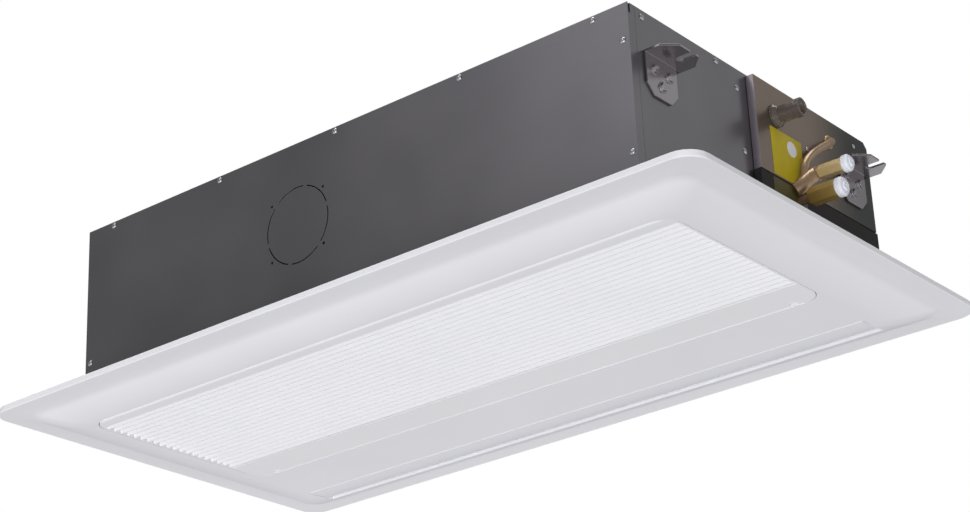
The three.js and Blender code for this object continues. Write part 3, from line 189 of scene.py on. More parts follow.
def moulded_white(name, colour):
    """ABS, injection moulded: a spark-eroded grain that dulls the shine, and no weld lines.

    The real grain is about 0.1 mm, and is drawn 1.1 mm across so that it shows.
    """
    return surface(
        name,
        (colour, darker(colour, 0.93)),
        0.62,
        cloud=(220, 2.0, EVEN),
        grain=(1.1, 2.0, EVEN),
        dulling=(0.56, 0.7),
        relief=(0.03, 0.5),
        Specular_IOR_Level=0.3,
    )


def galvanised_sheet(name, dark, light, rough):
    """Hot-dip galvanised steel, skin passed: a smooth zinc skin with faint rolling streaks.

    The real streaks are finer than a pixel, and are drawn 1.6 mm apart so that they show. The
    zinc's cloudiness is about 240 mm across.
    """
    made, tree, shader = new_material(name, dark, rough, 0.92)
    place = add_node(tree, "ShaderNodeTexCoord").outputs["Object"]
    rolled = add_node(tree, "ShaderNodeMapping", {"Vector": place, "Scale": (1 / 60, 1 / 4, 1)})
    streak = add_node(
        tree,
        "ShaderNodeTexNoise",
        {
            "Vector": rolled.outputs["Vector"],
            "Scale": 1 / (1.6 * MM),
            "Detail": 2.0,
            "Roughness": NOISE_ROUGHNESS,
        },
    ).outputs["Fac"]
    cloud = add_node(
        tree,
        "ShaderNodeTexNoise",
        {"Vector": place, "Scale": 1 / (240 * MM), "Detail": 2.0, "Roughness": NOISE_ROUGHNESS},
    ).outputs["Fac"]
    faint = add_node(tree, "ShaderNodeMapRange", {"Value": streak, "To Min": 0.85, "To Max": 1.0})
    streaked = add_node(
        tree, "ShaderNodeMath", {0: faint.outputs["Result"], 1: cloud}, operation="MULTIPLY"
    )
    tint = add_node(
        tree,
        "ShaderNodeMix",
        {"Factor": streaked.outputs["Value"], MIX_FIRST: dark, MIX_SECOND: light},
        data_type="RGBA",
    )
    tree.links.new(tint.outputs[MIX_RESULT], shader.inputs["Base Color"])
    dulled = add_node(
        tree, "ShaderNodeMapRange", {"Value": cloud, "To Min": rough - 0.05, "To Max": rough + 0.05}
    )
    tree.links.new(dulled.outputs["Result"], shader.inputs["Roughness"])
    raised = add_node(
        tree, "ShaderNodeBump", {"Height": streak, "Distance": 0.002 * MM, "Strength": 0.15}
    )
    tree.links.new(raised.outputs["Normal"], shader.inputs["Normal"])
    return made


def sheet_with_painted_shade(name, near, far):
    """Steel sheet, brown on its near side, darkening to dark grey towards its far side: painted
    shade.

    The shade comes in across 150 mm of the cover, with clouds of about 90 mm in its edge.
    """
    made, tree, shader = new_material(name, near, 0.36, 0.85)
    place = add_node(tree, "ShaderNodeTexCoord").outputs["Object"]
    apart = add_node(tree, "ShaderNodeSeparateXYZ", {"Vector": place})
    # Darker towards the far side, from 90 to 240 mm along Y: painted shade, with a cloudy edge.
    across = add_node(
        tree,
        "ShaderNodeMapRange",
        {"Value": apart.outputs["Y"], "From Min": 90 * MM, "From Max": 240 * MM},
        interpolation_type="SMOOTHSTEP",
    )
    cloud = add_node(
        tree,
        "ShaderNodeTexNoise",
        {"Vector": place, "Scale": 1 / (90 * MM), "Detail": 3.0, "Roughness": NOISE_ROUGHNESS},
    ).outputs["Fac"]
    shade_edge_drift = add_node(tree, "ShaderNodeMapRange", {"Value": cloud, "To Min": -0.12, "To Max": 0.12})
    spread = add_node(
        tree,
        "ShaderNodeMath",
        {0: across.outputs["Result"], 1: shade_edge_drift.outputs["Result"]},
        operation="ADD",
        use_clamp=True,
    )
    tint = add_node(
        tree,
        "ShaderNodeMix",
        {"Factor": spread.outputs["Value"], MIX_FIRST: near, MIX_SECOND: far},
        data_type="RGBA",
    )
    tree.links.new(tint.outputs[MIX_RESULT], shader.inputs["Base Color"])
    dulled = add_node(tree, "ShaderNodeMapRange", {"Value": cloud, "To Min": 0.3, "To Max": 0.42})
    tree.links.new(dulled.outputs["Result"], shader.inputs["Roughness"])
    return made


def drawn_copper(name):
    """Copper tube, drawn, handled and brazed: a worn brown bloom, and duller where it is darker."""
    tints = (linear("#bba084"), linear("#8a7058"))
    return surface(
        name, tints, 0.36, cloud=(20, 3.0, EVEN), blend=(0.2, 0.8), dulling=(0.24, 0.42), metal=0.7
    )


def turned_brass(name, colour):
    """Brass bar, turned and milled: tool marks round the thread and dull patches of handling.

    The real marks are about 0.2 mm apart, and are drawn 0.8 mm apart so that they show.
    """
    return surface(
        name,
        (colour, darker(colour, 0.7)),
        0.34,
        cloud=(12, 3.0, EVEN),
        grain=(0.8, 2.0, (1, 12, 12)),
        blend=(0.0, 0.8),
        dulling=(0.22, 0.4),
        relief=(0.04, 0.4),
        metal=0.55,
    )


def mill_aluminium(name):
    """Aluminium foil, stamped to fins: bright, with the soft ripple of thin sheet."""
    tints = (linear("#b2b6ba"), linear("#d2d5d8"))
    return surface(name, tints, 0.34, cloud=(10, 2.0, (1, 1, 6)), dulling=(0.28, 0.42), metal=1.0)


def cast_plastic(name, colour, rough, **sockets):
    """Plastic or coating in one colour: a fine grain, and a slight change of depth.

    The real grain is about 0.1 mm, and is drawn 0.9 mm across so that it shows.
    """
    return surface(
        name,
        (colour, darker(colour, 0.86)),
        rough,
        cloud=(30, 3.0, EVEN),
        grain=(0.9, 2.0, EVEN),
        blend=(0.0, 0.7),
        dulling=(rough - 0.05, rough + 0.06),
        relief=(0.03, 0.4),
        **sockets,
    )


def cell_foam(name, colour, cell, depth):
    """Foam with its cells or beads, cell metres across, open to view: pebbled and matt, and darker
    towards each cell's edge, in the hollows between the domes: painted shade.
    """
    made, tree, shader = new_material(name, colour, 0.92)
    place = add_node(tree, "ShaderNodeTexCoord").outputs["Object"]
    cells = add_node(tree, "ShaderNodeTexVoronoi", {"Vector": place, "Scale": 1 / cell})
    # Darker towards the edges of the cells, where the bump sinks: painted shade.
    tint = add_node(
        tree,
        "ShaderNodeMix",
        {
            "Factor": cells.outputs["Distance"],
            MIX_FIRST: colour,
            MIX_SECOND: darker(colour, 0.7),
        },
        data_type="RGBA",
    )
    tree.links.new(tint.outputs[MIX_RESULT], shader.inputs["Base Color"])
    dome = add_node(
        tree,
        "ShaderNodeMapRange",
        {"Value": cells.outputs["Distance"], "To Min": 1.0, "To Max": 0.0},
    )
    raised = add_node(
        tree,
        "ShaderNodeBump",
        {"Height": dome.outputs["Result"], "Distance": depth, "Strength": 0.6},
    )
    tree.links.new(raised.outputs["Normal"], shader.inputs["Normal"])
    return made


def yellow_film(name):
    """Vinyl film, printed yellow and laid on by hand: smooth, with slight ripples of air."""
    tints = (linear("#b09c0a"), linear("#c3b018"))
    return surface(name, tints, 0.5, cloud=(18, 2.0, EVEN), relief=(0.2, 0.3), IOR=1.35)


def zinc_screw(name):
    """Steel screw, zinc plated: pale and a little satin, with darker blotches of tarnish about 2 mm
    across.
    """
    tints = (linear("#9c9ca0"), linear("#d2d2d6"))
    return surface(name, tints, 0.2, cloud=(2, 2.0, EVEN), metal=1.0)


def make_materials():
    """One material for each finish: the record's slot names, and the few only this script uses."""
    chosen = settings()
    sheet, sheet_light = chosen.sheet_colour[:], chosen.sheet_light[:]
    panel, door, cover = chosen.panel_colour[:], chosen.door_colour[:], chosen.cover_colour[:]
    plate, plate_light = linear("#7c787c"), linear("#a6a2a6")
    fold, fold_highlight = linear("#a49ba4"), linear("#c3bbc4")
    shell, shell_light = linear("#8d8f92"), linear("#a9abae")
    smoke, black, green = linear("#7a6f68"), linear("#232427"), linear("#2c5a38")
    milk, wax, olive, chalk = (linear(c) for c in ("#f0f0f2", "#e6e5ee", "#4d4718", "#dcdce0"))
    return {
        # The casing's sheet: mid grey and smooth, so the room shows in it as a soft gradient.
        "steel": galvanised_sheet("Galvanised steel sheet", sheet, sheet_light, 0.3),
        # The cover over the pipes: brown on its near side, darkening to dark grey towards its far
        # side as painted shade.
        "cover": sheet_with_painted_shade("Galvanised steel sheet, lacquered", cover, linear("#3b3f3c")),
        # The brackets' thicker plate: paler and shinier than the sheet, with crisp highlights.
        "bracket_steel": galvanised_sheet("Galvanised steel plate", plate, plate_light, 0.2),
        # The cover's folded rim: a bright, slightly violet line where the bend catches the light,
        # painted in as a highlight.
        "fold": galvanised_sheet("Galvanised steel, bright fold", fold, fold_highlight, 0.4),
        # The fan motor's can: pale grey, with a broad dull highlight.
        "motor_shell": galvanised_sheet("Zinc-plated steel", shell, shell_light, 0.4),
        # The panel, flap, catches and float: an even, slightly cool white with a low shine.
        "white_plastic": moulded_white("Moulded ABS, white", panel),
        # The slatted door: the same, a touch brighter.
        "grille_plastic": moulded_white("Moulded ABS, bright white", door),
        # The filter's frame and threads: milky white.
        "net": cast_plastic("Polypropylene net, white", milk, 0.5),
        # The caps: waxy, with a little light passing through.
        "cap_plastic": cast_plastic("Polyethylene, white", wax, 0.35, Subsurface_Weight=0.08),
        # The drain stub: brown and half clear, with a wet shine.
        "dark_plastic": cast_plastic("Polypropylene, smoked", smoke, 0.12, Transmission_Weight=0.6),
        # The fan, its scroll and the pump: black with a soft shine.
        "black_plastic": cast_plastic("Polystyrene, black", black, 0.46),
        # The circuit board: dark green with a lacquer's shine.
        "board": cast_plastic("Glass-epoxy board", green, 0.42),
        # The film's tail on the dark pad: a dull olive, painted shade.
        "film_shade": cast_plastic("Vinyl film, dark olive", olive, 0.5),
        # The round patch on the film: chalky and pale.
        "paper": cast_plastic("Coated paper, white", chalk, 0.6),
        # The pad and the liner: near black, pebbled with 1.6 mm cells. On the pad below the cover
        # the near black also stands for the shade there: painted shade.
        "foam": cell_foam("Closed-cell rubber foam", linear("#2a2726"), 1.6 * MM, 0.3 * MM),
        # The drain pan: off-white beads of 4 mm.
        "expanded_foam": cell_foam("Expanded polystyrene", linear("#e6e6e2"), 4 * MM, 0.4 * MM),
        # The upper union is pale; the lower one is darker and yellower, as painted shade.
        "brass": turned_brass("Brass, turned", linear("#e2c892")),
        "brass_painted_shade": turned_brass("Brass, turned and tarnished", linear("#b0914f")),
        "aluminium": mill_aluminium("Aluminium fin stock"),
        "copper": drawn_copper("Copper tube"),
        "film": yellow_film("Vinyl film, yellow"),
        "screw": zinc_screw("Zinc-plated screw steel"),
    }


FINISH = {}


def material_of(finish):
    """The material of a finish. All of them are made when the first is asked for."""
    if not FINISH:
        FINISH.update(make_materials())
    return FINISH[finish]


# ---------------------------------------------------------------- mesh helpers
def object_from(name, content):
    """A new object in the scene round a mesh, lamp or camera."""
    made = bpy.data.objects.new(name, content)
    bpy.context.scene.collection.objects.link(made)
    return made


def object_from_bmesh(name, shape):
    mesh = bpy.data.meshes.new(name)
    shape.to_mesh(mesh)
    shape.free()
    return object_from(name, mesh)


def kept_form(piece):
    """The piece's mesh with its modifiers made part of it."""
    bpy.context.view_layer.update()
    graph = bpy.context.evaluated_depsgraph_get()
    mesh = bpy.data.meshes.new_from_object(piece.evaluated_get(graph))
    piece.modifiers.clear()
    piece.data = mesh
    mesh.name = piece.name
    return mesh


def settled(piece, smooth_angle=35):
    """The piece in its final form, smooth except across edges sharper than smooth_angle degrees."""
    mesh = kept_form(piece)
    for face in mesh.polygons:
        face.use_smooth = True
    mesh.set_sharp_from_angle(angle=math.radians(smooth_angle))
    return piece


def rounded(piece, radius, segments=2, angle=30):
    """A small radius on every edge sharper than angle degrees."""
    made = piece.modifiers.new("edge radius", "BEVEL")
    made.width = radius
    made.segments = segments
    made.limit_method = "ANGLE"
    made.angle_limit = math.radians(angle)
    made.use_clamp_overlap = True
    return piece


def painted(piece, finish):
    piece.data.materials.clear()
    piece.data.materials.append(material_of(finish))
    return piece


def placed(piece, body, finish, stands_for=()):
    """Gives a finished piece its material, its body and the nodes that it stands for."""
    painted(piece, finish)
    if stands_for:
        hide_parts(*stands_for)
    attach(piece, body)
    return piece


def softened_copy(node, radius, finish=None, angle=30):
    """A node's own form with small radii on its edges, standing for that node."""
    shape = bmesh.new()
    shape.from_mesh(frame["nodes"][node].data)
    bmesh.ops.remove_doubles(shape, verts=shape.verts, dist=0.002 * MM)
    bmesh.ops.dissolve_limit(
        shape, angle_limit=math.radians(0.3), verts=shape.verts, edges=shape.edges
    )
    piece = object_from_bmesh(node + "_finished", shape)
    for face in piece.data.polygons:
        face.use_smooth = True
    rounded(piece, radius, angle=angle)
    flat = piece.modifiers.new("flat faces stay flat", "WEIGHTED_NORMAL")
    flat.keep_sharp = True
    kept_form(piece)
    return placed(piece, BODY_OF[node], finish or SLOT_OF[node], [node])


def box_mesh(name, low, high):
    """A rectangular strip from corner to corner."""
    shape = bmesh.new()
    bmesh.ops.create_cube(shape, size=1)
    low, high = Vector(low), Vector(high)
    place = Matrix.Translation((low + high) / 2) @ Matrix.Diagonal((*(high - low), 1))
    bmesh.ops.transform(shape, matrix=place, verts=shape.verts)
    return object_from_bmesh(name, shape)


def skinned(name, rings):
    """A closed surface through rings of points, with a face at each end."""
    shape = bmesh.new()
    rings = [[shape.verts.new(point) for point in ring] for ring in rings]
    for ring, following in zip(rings, rings[1:]):
        for i in range(len(ring)):
            j = (i + 1) % len(ring)
            shape.faces.new((ring[i], ring[j], following[j], following[i]))
    shape.faces.new(list(reversed(rings[0])))
    shape.faces.new(rings[-1])
    bmesh.ops.remove_doubles(shape, verts=shape.verts, dist=1e-7)
    bmesh.ops.recalc_face_normals(shape, faces=shape.faces)
    return object_from_bmesh(name, shape)


def turned_mesh(name, start, direction, profile, sides):
    """A turned piece: (distance along, radius) pairs from start along direction."""
    turn = ALONG_Z.rotation_difference(direction).to_matrix().to_4x4()
    move = Matrix.Translation(start) @ turn
    spin = [2 * math.pi * i / sides for i in range(sides)]
    rings = [
        [move @ Vector((radius * math.cos(t), radius * math.sin(t), along)) for t in spin]
        for along, radius in profile
    ]
    return skinned(name, rings)


# Each row of the curve's pyramid blends neighbouring points between these two of its four times.
CURVE_ROWS = (((0, 1), (1, 2), (2, 3)), ((0, 2), (1, 3)), ((1, 2),))


def smooth_path(points, steps):
    """Points on a centripetal Catmull-Rom curve through the given ones."""
    points = [Vector(p) for p in points]
    knots = [points[0] * 2 - points[1], *points, points[-1] * 2 - points[-2]]
    path = []
    for k in range(1, len(knots) - 2):
        near = knots[k - 1 : k + 3]
        times = [0.0]
        for a, b in zip(near, near[1:]):
            times.append(times[-1] + max((b - a).length, 1e-9) ** 0.5)
        for i in range(steps):
            now = times[1] + (times[2] - times[1]) * i / steps
            row = near
            for spans in CURVE_ROWS:
                row = [
                    a.lerp(b, (now - times[start]) / (times[end] - times[start]))
                    for a, b, (start, end) in zip(row, row[1:], spans)
                ]
            path.append(row[0])
    path.append(points[-1])
    return path


def tube(name, route, radius, sides):
    """A round tube along a smooth path through a route in millimetres, closed at both ends."""
    path = smooth_path([Vector(p) * MM for p in route], 6)
    forward = (path[1] - path[0]).normalized()
    side = forward.orthogonal().normalized()
    spin = [2 * math.pi * i / sides for i in range(sides)]
    rings = []
    for k, centre in enumerate(path):
        ahead = (path[min(k + 1, len(path) - 1)] - path[max(k - 1, 0)]).normalized()
        side = (forward.rotation_difference(ahead) @ side).normalized()
        forward = ahead
        other = forward.cross(side)
        rings.append([centre + (side * math.cos(t) + other * math.sin(t)) * radius for t in spin])
    return skinned(name, rings)


# ---------------------------------------------------------------- geometry nodes
def node_group(name, inputs):
    """A geometry node tree with a mesh in and out and the named inputs."""
    tree = bpy.data.node_groups.new(name, "GeometryNodeTree")
    for label, kind in (("Unit", "NodeSocketGeometry"), *inputs, ("Finish", "NodeSocketMaterial")):
        tree.interface.new_socket(label, in_out="INPUT", socket_type=kind)
    tree.interface.new_socket("Geometry", in_out="OUTPUT", socket_type="NodeSocketGeometry")
    return tree, tree.nodes.new("NodeGroupInput")


def finish_group(tree, source, copies):
    """Realises the copies and gives them the tree's material."""
    whole = add_node(
        tree, "GeometryNodeRealizeInstances", {"Geometry": copies.outputs["Instances"]}
    )
    coated = add_node(
        tree,
        "GeometryNodeSetMaterial",
        {"Geometry": whole.outputs["Geometry"], "Material": source.outputs["Finish"]},
    )
    add_node(tree, "NodeGroupOutput", {"Geometry": coated.outputs["Geometry"]})


def row_group():
    """Copies of the unit in a straight row."""
    tree, source = node_group(
        "Even row", [("Count", "NodeSocketInt"), ("Step", "NodeSocketVector")]
    )
    line = add_node(
        tree,
        "GeometryNodeMeshLine",
        {"Count": source.outputs["Count"], "Offset": source.outputs["Step"]},
        mode="OFFSET",
    )
    copies = add_node(
        tree,
        "GeometryNodeInstanceOnPoints",
        {"Points": line.outputs["Mesh"], "Instance": source.outputs["Unit"]},
    )
    finish_group(tree, source, copies)
    return tree


def places_group():
    """Copies of the unit at the points of another object, all turned alike."""
    tree, source = node_group(
        "Set places", [("Places", "NodeSocketObject"), ("Turn", "NodeSocketRotation")]
    )
    spots = add_node(tree, "GeometryNodeObjectInfo", {"Object": source.outputs["Places"]})
    copies = add_node(
        tree,
        "GeometryNodeInstanceOnPoints",
        {
            "Points": spots.outputs["Geometry"],
            "Instance": source.outputs["Unit"],
            "Rotation": source.outputs["Turn"],
        },
    )
    finish_group(tree, source, copies)
    return tree


GROUPS = {}


def repeat(piece, build_group, values):
    """Runs a node group on the piece and keeps the result as its mesh."""
    if build_group not in GROUPS:
        GROUPS[build_group] = build_group()
    tree = GROUPS[build_group]
    made = piece.modifiers.new(tree.name, "NODES")
    made.node_group = tree
    sockets = {
        item.name: item.identifier for item in tree.interface.items_tree if item.in_out == "INPUT"
    }
    for label, value in values.items():
        made[sockets[label]] = value
    return settled(piece)


def row_of(piece, count, step, finish):
    return repeat(piece, row_group, {"Count": count, "Step": step, "Finish": material_of(finish)})


def at_places(piece, places, turn, finish):
    """Copies of the piece at the places, each turned by the Euler angles."""
    mesh = bpy.data.meshes.new("places")
    mesh.from_pydata([tuple(p) for p in places], [], [])
    spots = object_from("places", mesh)
    values = {"Places": spots, "Turn": turn, "Finish": material_of(finish)}
    repeat(piece, places_group, values)
    bpy.data.objects.remove(spots)
    return piece


# ---------------------------------------------------------------- settings
class CassetteSettings(bpy.types.PropertyGroup):
    """Sizes, colours and light levels that a user of this script would change."""

    edge_radius: FloatProperty(
        name="Moulded edge",
        description="Radius on the panel's edges",
        default=1 * MM,
        unit="LENGTH",
    )
    sheet_radius: FloatProperty(
        name="Sheet edge",
        description="Radius on cut steel edges",
        default=0.3 * MM,
        unit="LENGTH",
    )
    inner_radius: FloatProperty(
        name="Inner edge",
        description="Radius on the edges of the inner parts",
        default=0.3 * MM,
        unit="LENGTH",
    )
    screw_radius: FloatProperty(
        name="Screw head",
        description="Radius of the casing screws' heads",
        default=4.2 * MM,
        unit="LENGTH",
    )
    key_strength: FloatProperty(
        name="Key", description="Strength of the low key light", default=2.42
    )
    fill: FloatProperty(
        name="Fill", description="Strength of the light from all round", default=0.34
    )
    fins: IntProperty(name="Fins", description="Number of fins in the coil", default=280, min=20)
    net_pitch: FloatProperty(
        name="Net pitch",
        description="Spacing of the filter net's threads",
        default=2.6 * MM,
        min=1 * MM,
        unit="LENGTH",
    )
    panel_colour: FloatVectorProperty(
        name="Panel",
        description="Colour of the panel, the flap, the catches and the float",
        default=linear("#ececf1"),
        size=4,
        subtype="COLOR",
    )
    door_colour: FloatVectorProperty(
        name="Door",
        description="Colour of the slatted door",
        default=linear("#f0f0f4"),
        size=4,
        subtype="COLOR",
    )
    sheet_colour: FloatVectorProperty(
        name="Sheet",
        description="Darker tint of the casing's steel",
        default=linear("#616065"),
        size=4,
        subtype="COLOR",
    )
    sheet_light: FloatVectorProperty(
        name="Sheet, light",
        description="Lighter tint of the casing's steel",
        default=linear("#88868a"),
        size=4,
        subtype="COLOR",
    )
    # The cover's own brown. Towards its far side the material darkens it as painted shade.
    cover_colour: FloatVectorProperty(
        name="Cover",
        description="Colour of the pipe cover on its near side, outside the painted shade",
        default=linear("#84766b"),
        size=4,
        subtype="COLOR",
    )
    backdrop: FloatVectorProperty(
        name="Backdrop",
        description="Colour behind the unit",
        default=linear("#ffffff"),
        size=4,
        subtype="COLOR",
    )


def settings():
    return bpy.context.scene.cassette


# ---------------------------------------------------------------- operators
INNER = (
    "fan_rotor",
    "fan_motor",
    "fan_bearing",
    "fan_scroll",
    "motor_saddle",
    "drain_pan",
    "drain_pump",
    "pump_hose",
    "float_switch",
    "float_ring",
    "flap_motor",
    "control_box",
    "control_lid",
    "terminal_block",
    "coil_sheet_pipe",
    "coil_sheet_blind",
)


class CASSETTE_OT_inside(bpy.types.Operator):
    """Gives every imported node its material, and finishes the inner parts"""

    bl_idname = "cassette.inside"
    bl_label = "Inner parts"

    def execute(self, context):
        for name, piece in frame["nodes"].items():
            painted(piece, SLOT_OF[name])
        for name in INNER:
            softened_copy(name, settings().inner_radius)
        self.fins()
        return {"FINISHED"}

    def fins(self):
        """The coil's fins: thin leaning plates in a close row between the tube sheets."""
        thick = 0.2 * MM
        low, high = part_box("coil_fins")
        points = [v.co for v in frame["nodes"]["coil_fins"].data.vertices]
        start = min(p.x for p in points)
        end = sorted({(round(p.y, 6), round(p.z, 6)) for p in points if p.x < start + 0.01 * MM})
        corners = (end[0], min(end, key=lambda p: p[1]), end[-1], max(end, key=lambda p: p[1]))
        count = settings().fins
        pitch = (high.x - low.x - thick) / (count - 1)
        faces = [[(x, y, z) for y, z in corners] for x in (low.x, low.x + thick)]
        fin = skinned("coil_fin_row", faces)
        fins = row_of(fin, count, (pitch, 0, 0), "aluminium")
        placed(fins, "casing", "aluminium", ["coil_fins"])


class CASSETTE_OT_panel(bpy.types.Operator):
    """Finishes the ceiling panel and its outlet flap"""

    bl_idname = "cassette.panel"
    bl_label = "Ceiling panel"

    def execute(self, context):
        softened_copy("panel_frame", settings().edge_radius, angle=32)
        softened_copy("outlet_flap", 0.4 * MM)
        return {"FINISHED"}


class CASSETTE_OT_door(bpy.types.Operator):
    """Finishes the intake door with its catches and filter"""

    bl_idname = "cassette.door"
    bl_label = "Intake door"

    def execute(self, context):
        softened_copy("grille_door", 0.3 * MM)
        softened_copy("catch_left", 0.4 * MM)
        softened_copy("catch_right", 0.4 * MM)
        softened_copy("air_filter", 0.3 * MM, "net")
        self.net()
        self.lips()
        return {"FINISHED"}

    def net(self):
        """The filter's woven net: flat threads both ways, halfway up the frame."""
        pitch = settings().net_pitch
        width = pitch * 0.4
        thick, gap = 0.3 * MM, 0.1 * MM
        low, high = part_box("air_filter")
        inset = Vector((6 * MM, 6 * MM, 0))
        low, high = low + inset, high - inset
        middle = (low.z + high.z) / 2
        below = middle - gap
        across = box_mesh(
            "net_across", (low.x, low.y, middle), (high.x, low.y + width, middle + thick)
        )
        along = box_mesh(
            "net_along", (low.x, low.y, below - thick), (low.x + width, high.y, below)
        )
        rows = (
            (across, high.y - low.y, Vector((0, pitch, 0))),
            (along, high.x - low.x, Vector((pitch, 0, 0))),
        )
        for thread, span, step in rows:
            count = int((span - width) / pitch) + 1
            placed(row_of(thread, count, step, "net"), "door", "net")

    def lips(self):
        """Raised lips: one along the far side of the slats and one along the door's far edge."""
        low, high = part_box("grille_door")
        face = low.z
        # Name, the two corners, and the radius on the edges.
        lips = (
            (
                "slat_lip",
                (low.x + 8 * MM, 35.8 * MM, face),
                (high.x - 8 * MM, 37.7 * MM, face + 8 * MM),
                0.6 * MM,
            ),
            (
                "edge_lip",
                (low.x + 34 * MM, high.y - 2.2 * MM, face + 0.1 * MM),
                (high.x - 34 * MM, high.y - 0.3 * MM, face + 2 * MM),
                0.8 * MM,
            ),
        )
        for name, start, end, radius in lips:
            lip = settled(rounded(box_mesh(name, start, end), radius, 3), 60)
            placed(lip, "door", "grille_plastic")


class CASSETTE_OT_casing(bpy.types.Operator):
    """Finishes the steel casing, the pipe cover with its pad, and the brackets"""

    bl_idname = "cassette.casing"
    bl_label = "Steel casing"

    def execute(self, context):
        for side in ("near", "far", "top", "pipe_end", "blind_end", "base"):
            softened_copy("casing_" + side, settings().sheet_radius)
        softened_copy("pipe_cover", settings().sheet_radius, "cover")
        # The pad below the cover: black foam, whose near black also stands for the shade below the
        # cover as painted shade.
        softened_copy("foot_pad", 0.6 * MM)
        for corner in ("pipe_near", "pipe_far", "blind_near", "blind_far"):
            softened_copy("hanger_" + corner, 0.9 * MM)
        return {"FINISHED"}


# Places in millimetres: x and z on the near side, y and z on the pipe end and its cover.
SCREWS_NEAR = (
    (-428, 250),
    (-214.8, 250),
    (0.3, 250),
    (214.9, 250),
    (426.9, 250),
    (469.6, 206),
    (471.5, 56),
    (-470.4, 51),
)
SCREWS_PIPE_END = ((-243, 245.6), (-82.4, 248.8), (-37.6, 227.2), (-32.8, 139.2))
RIVETS_COVER = ((91.2, 162.0), (103.8, 187.4), (230, 172), (230, 236))

# A pan head with a recess: height in millimetres, and the part of the head's radius there.
SCREW_PROFILE = (
    (-0.4, 0.9),
    (0.0, 1.0),
    (0.7, 1.0),
    (1.6, 0.82),
    (2.1, 0.5),
    (2.2, 0.2),
    (1.0, 0.16),
)


class CASSETTE_OT_screws(bpy.types.Operator):
    """Puts the casing's screws and the cover's rivets in place"""

    bl_idname = "cassette.screws"
    bl_label = "Screws and rivets"

    def execute(self, context):
        radius = settings().screw_radius
        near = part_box("casing_near")[0].y
        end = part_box("casing_pipe_end")[1].x
        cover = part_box("pipe_cover")[1].x
        facing_near, facing_pipes = (QUARTER_TURN, 0, 0), (0, QUARTER_TURN, 0)
        on_near = [(x * MM, near, z * MM) for x, z in SCREWS_NEAR]
        on_end = [(end, y * MM, z * MM) for y, z in SCREWS_PIPE_END]
        on_cover = [(cover, y * MM, z * MM) for y, z in RIVETS_COVER]
        self.put("screws_near", on_near, facing_near, radius)
        self.put("screws_pipe_end", on_end, facing_pipes, radius)
        self.put("rivets_cover", on_cover, facing_pipes, radius * 0.7)
        return {"FINISHED"}

    def put(self, name, places, turn, radius):
        """Heads at the places, standing out along the turned Z axis."""
        profile = [(height * MM, radius * part) for height, part in SCREW_PROFILE]
        head = turned_mesh(name, Vector(), ALONG_Z, profile, 24)
        at_places(head, places, turn, "screw")
        placed(head, "casing", "screw")


# The middle of the port in the pipe cover that the upper pipe comes out of: y and z.
PORT = (162 * MM, 218 * MM)

# Routes in millimetres. The elbow rises from beside the lower union into the upper one.
ELBOW_ROUTE = (
    (488, 66, 115),
    (493, 70, 119),
    (498, 75.5, 126),
    (502.5, 82.5, 134),
    (507, 89, 139.5),
    (509.5, 90, 140),
    (511.4, 90, 140),
)

# The liquid pipe's loop, from behind the cover out through the port and down to the elbow.
LOOP_ROUTE = (
    (432, 132, 224),
    (456, 158, 219),
    (476, 162, 218),
    (493.5, 162, 218),
    (498.5, 158, 215),
    (501.5, 146, 207),
    (501.5, 120, 190),
    (501.5, 98, 174),
    (500.5, 82, 157),
    (500, 76, 143),
    (499, 75, 128),
)

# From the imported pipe's inner end to the loop: steps from that end.
LOOP_START = ((0, 0, 0), (20, 0, 1), (38, 22, 20), (54, 60, 20))


class CASSETTE_OT_pipes(bpy.types.Operator):
    """Finishes the pipes, unions, caps and drain stub"""

    bl_idname = "cassette.pipes"
    bl_label = "Pipes and drain"

    def execute(self, context):
        for node in ("liquid_union", "gas_cap", "liquid_cap", "drain_outlet", "gas_pipe"):
            softened_copy(node, 0.3 * MM)
        # The lower union in the darker brass: painted shade.
        softened_copy("gas_union", 0.3 * MM, "brass_painted_shade")
        for cap in ("gas_cap", "liquid_cap"):
            self.cap_key(cap)
        self.grommet()
        self.elbow()
        self.loop()
        return {"FINISHED"}

    def cap_key(self, cap):
        """The raised hexagon in the middle of a cap's face, for a spanner."""
        low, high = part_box(cap)
        radius = (high.y - low.y) * 0.3
        start = Vector((high.x - 0.3 * MM, (low.y + high.y) / 2, (low.z + high.z) / 2))
        # Height in millimetres, and the part of the radius there.
        steps = ((0, 1), (1.8, 0.94), (2.2, 0.84), (2.2, 0.2), (1.4, 0.14))
        profile = [(height * MM, radius * part) for height, part in steps]
        piece = turned_mesh(cap + "_key", start, ALONG_X, profile, 6)
        placed(settled(piece, 20), "casing", "cap_plastic")

    def grommet(self):
        """A pressed brass ring round the port."""
        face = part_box("pipe_cover")[1].x
        # Height and radius in millimetres.
        steps = ((0, 9.6), (1.2, 9.6), (2, 8.9), (2, 8), (0.4, 7.4))
        profile = [(height * MM, radius * MM) for height, radius in steps]
        piece = turned_mesh("port_grommet", Vector((face, *PORT)), ALONG_X, profile, 40)
        placed(settled(piece, 40), "casing", "brass")

    def elbow(self):
        """The fat brazed elbow between the pipe cover and the upper union."""
        piece = tube("liquid_elbow", ELBOW_ROUTE, 10.2 * MM, 24)
        placed(settled(piece, 50), "casing", "copper")

    def loop(self):
        """The liquid pipe as one smooth tube, from its packed inner end to the elbow."""
        mesh = frame["nodes"]["liquid_pipe"].data
        start = min(v.co.x for v in mesh.vertices)
        ring = [v.co for v in mesh.vertices if v.co.x < start + 0.01 * MM]
        end = Vector((start, *(sum(p[axis] for p in ring) / len(ring) for axis in (1, 2)))) / MM
        route = [end + Vector(step) for step in LOOP_START] + list(LOOP_ROUTE)
        loop = tube("liquid_pipe_smooth", route, 5.7 * MM, 20)
        placed(settled(loop, 50), "casing", "copper", ["liquid_pipe"])


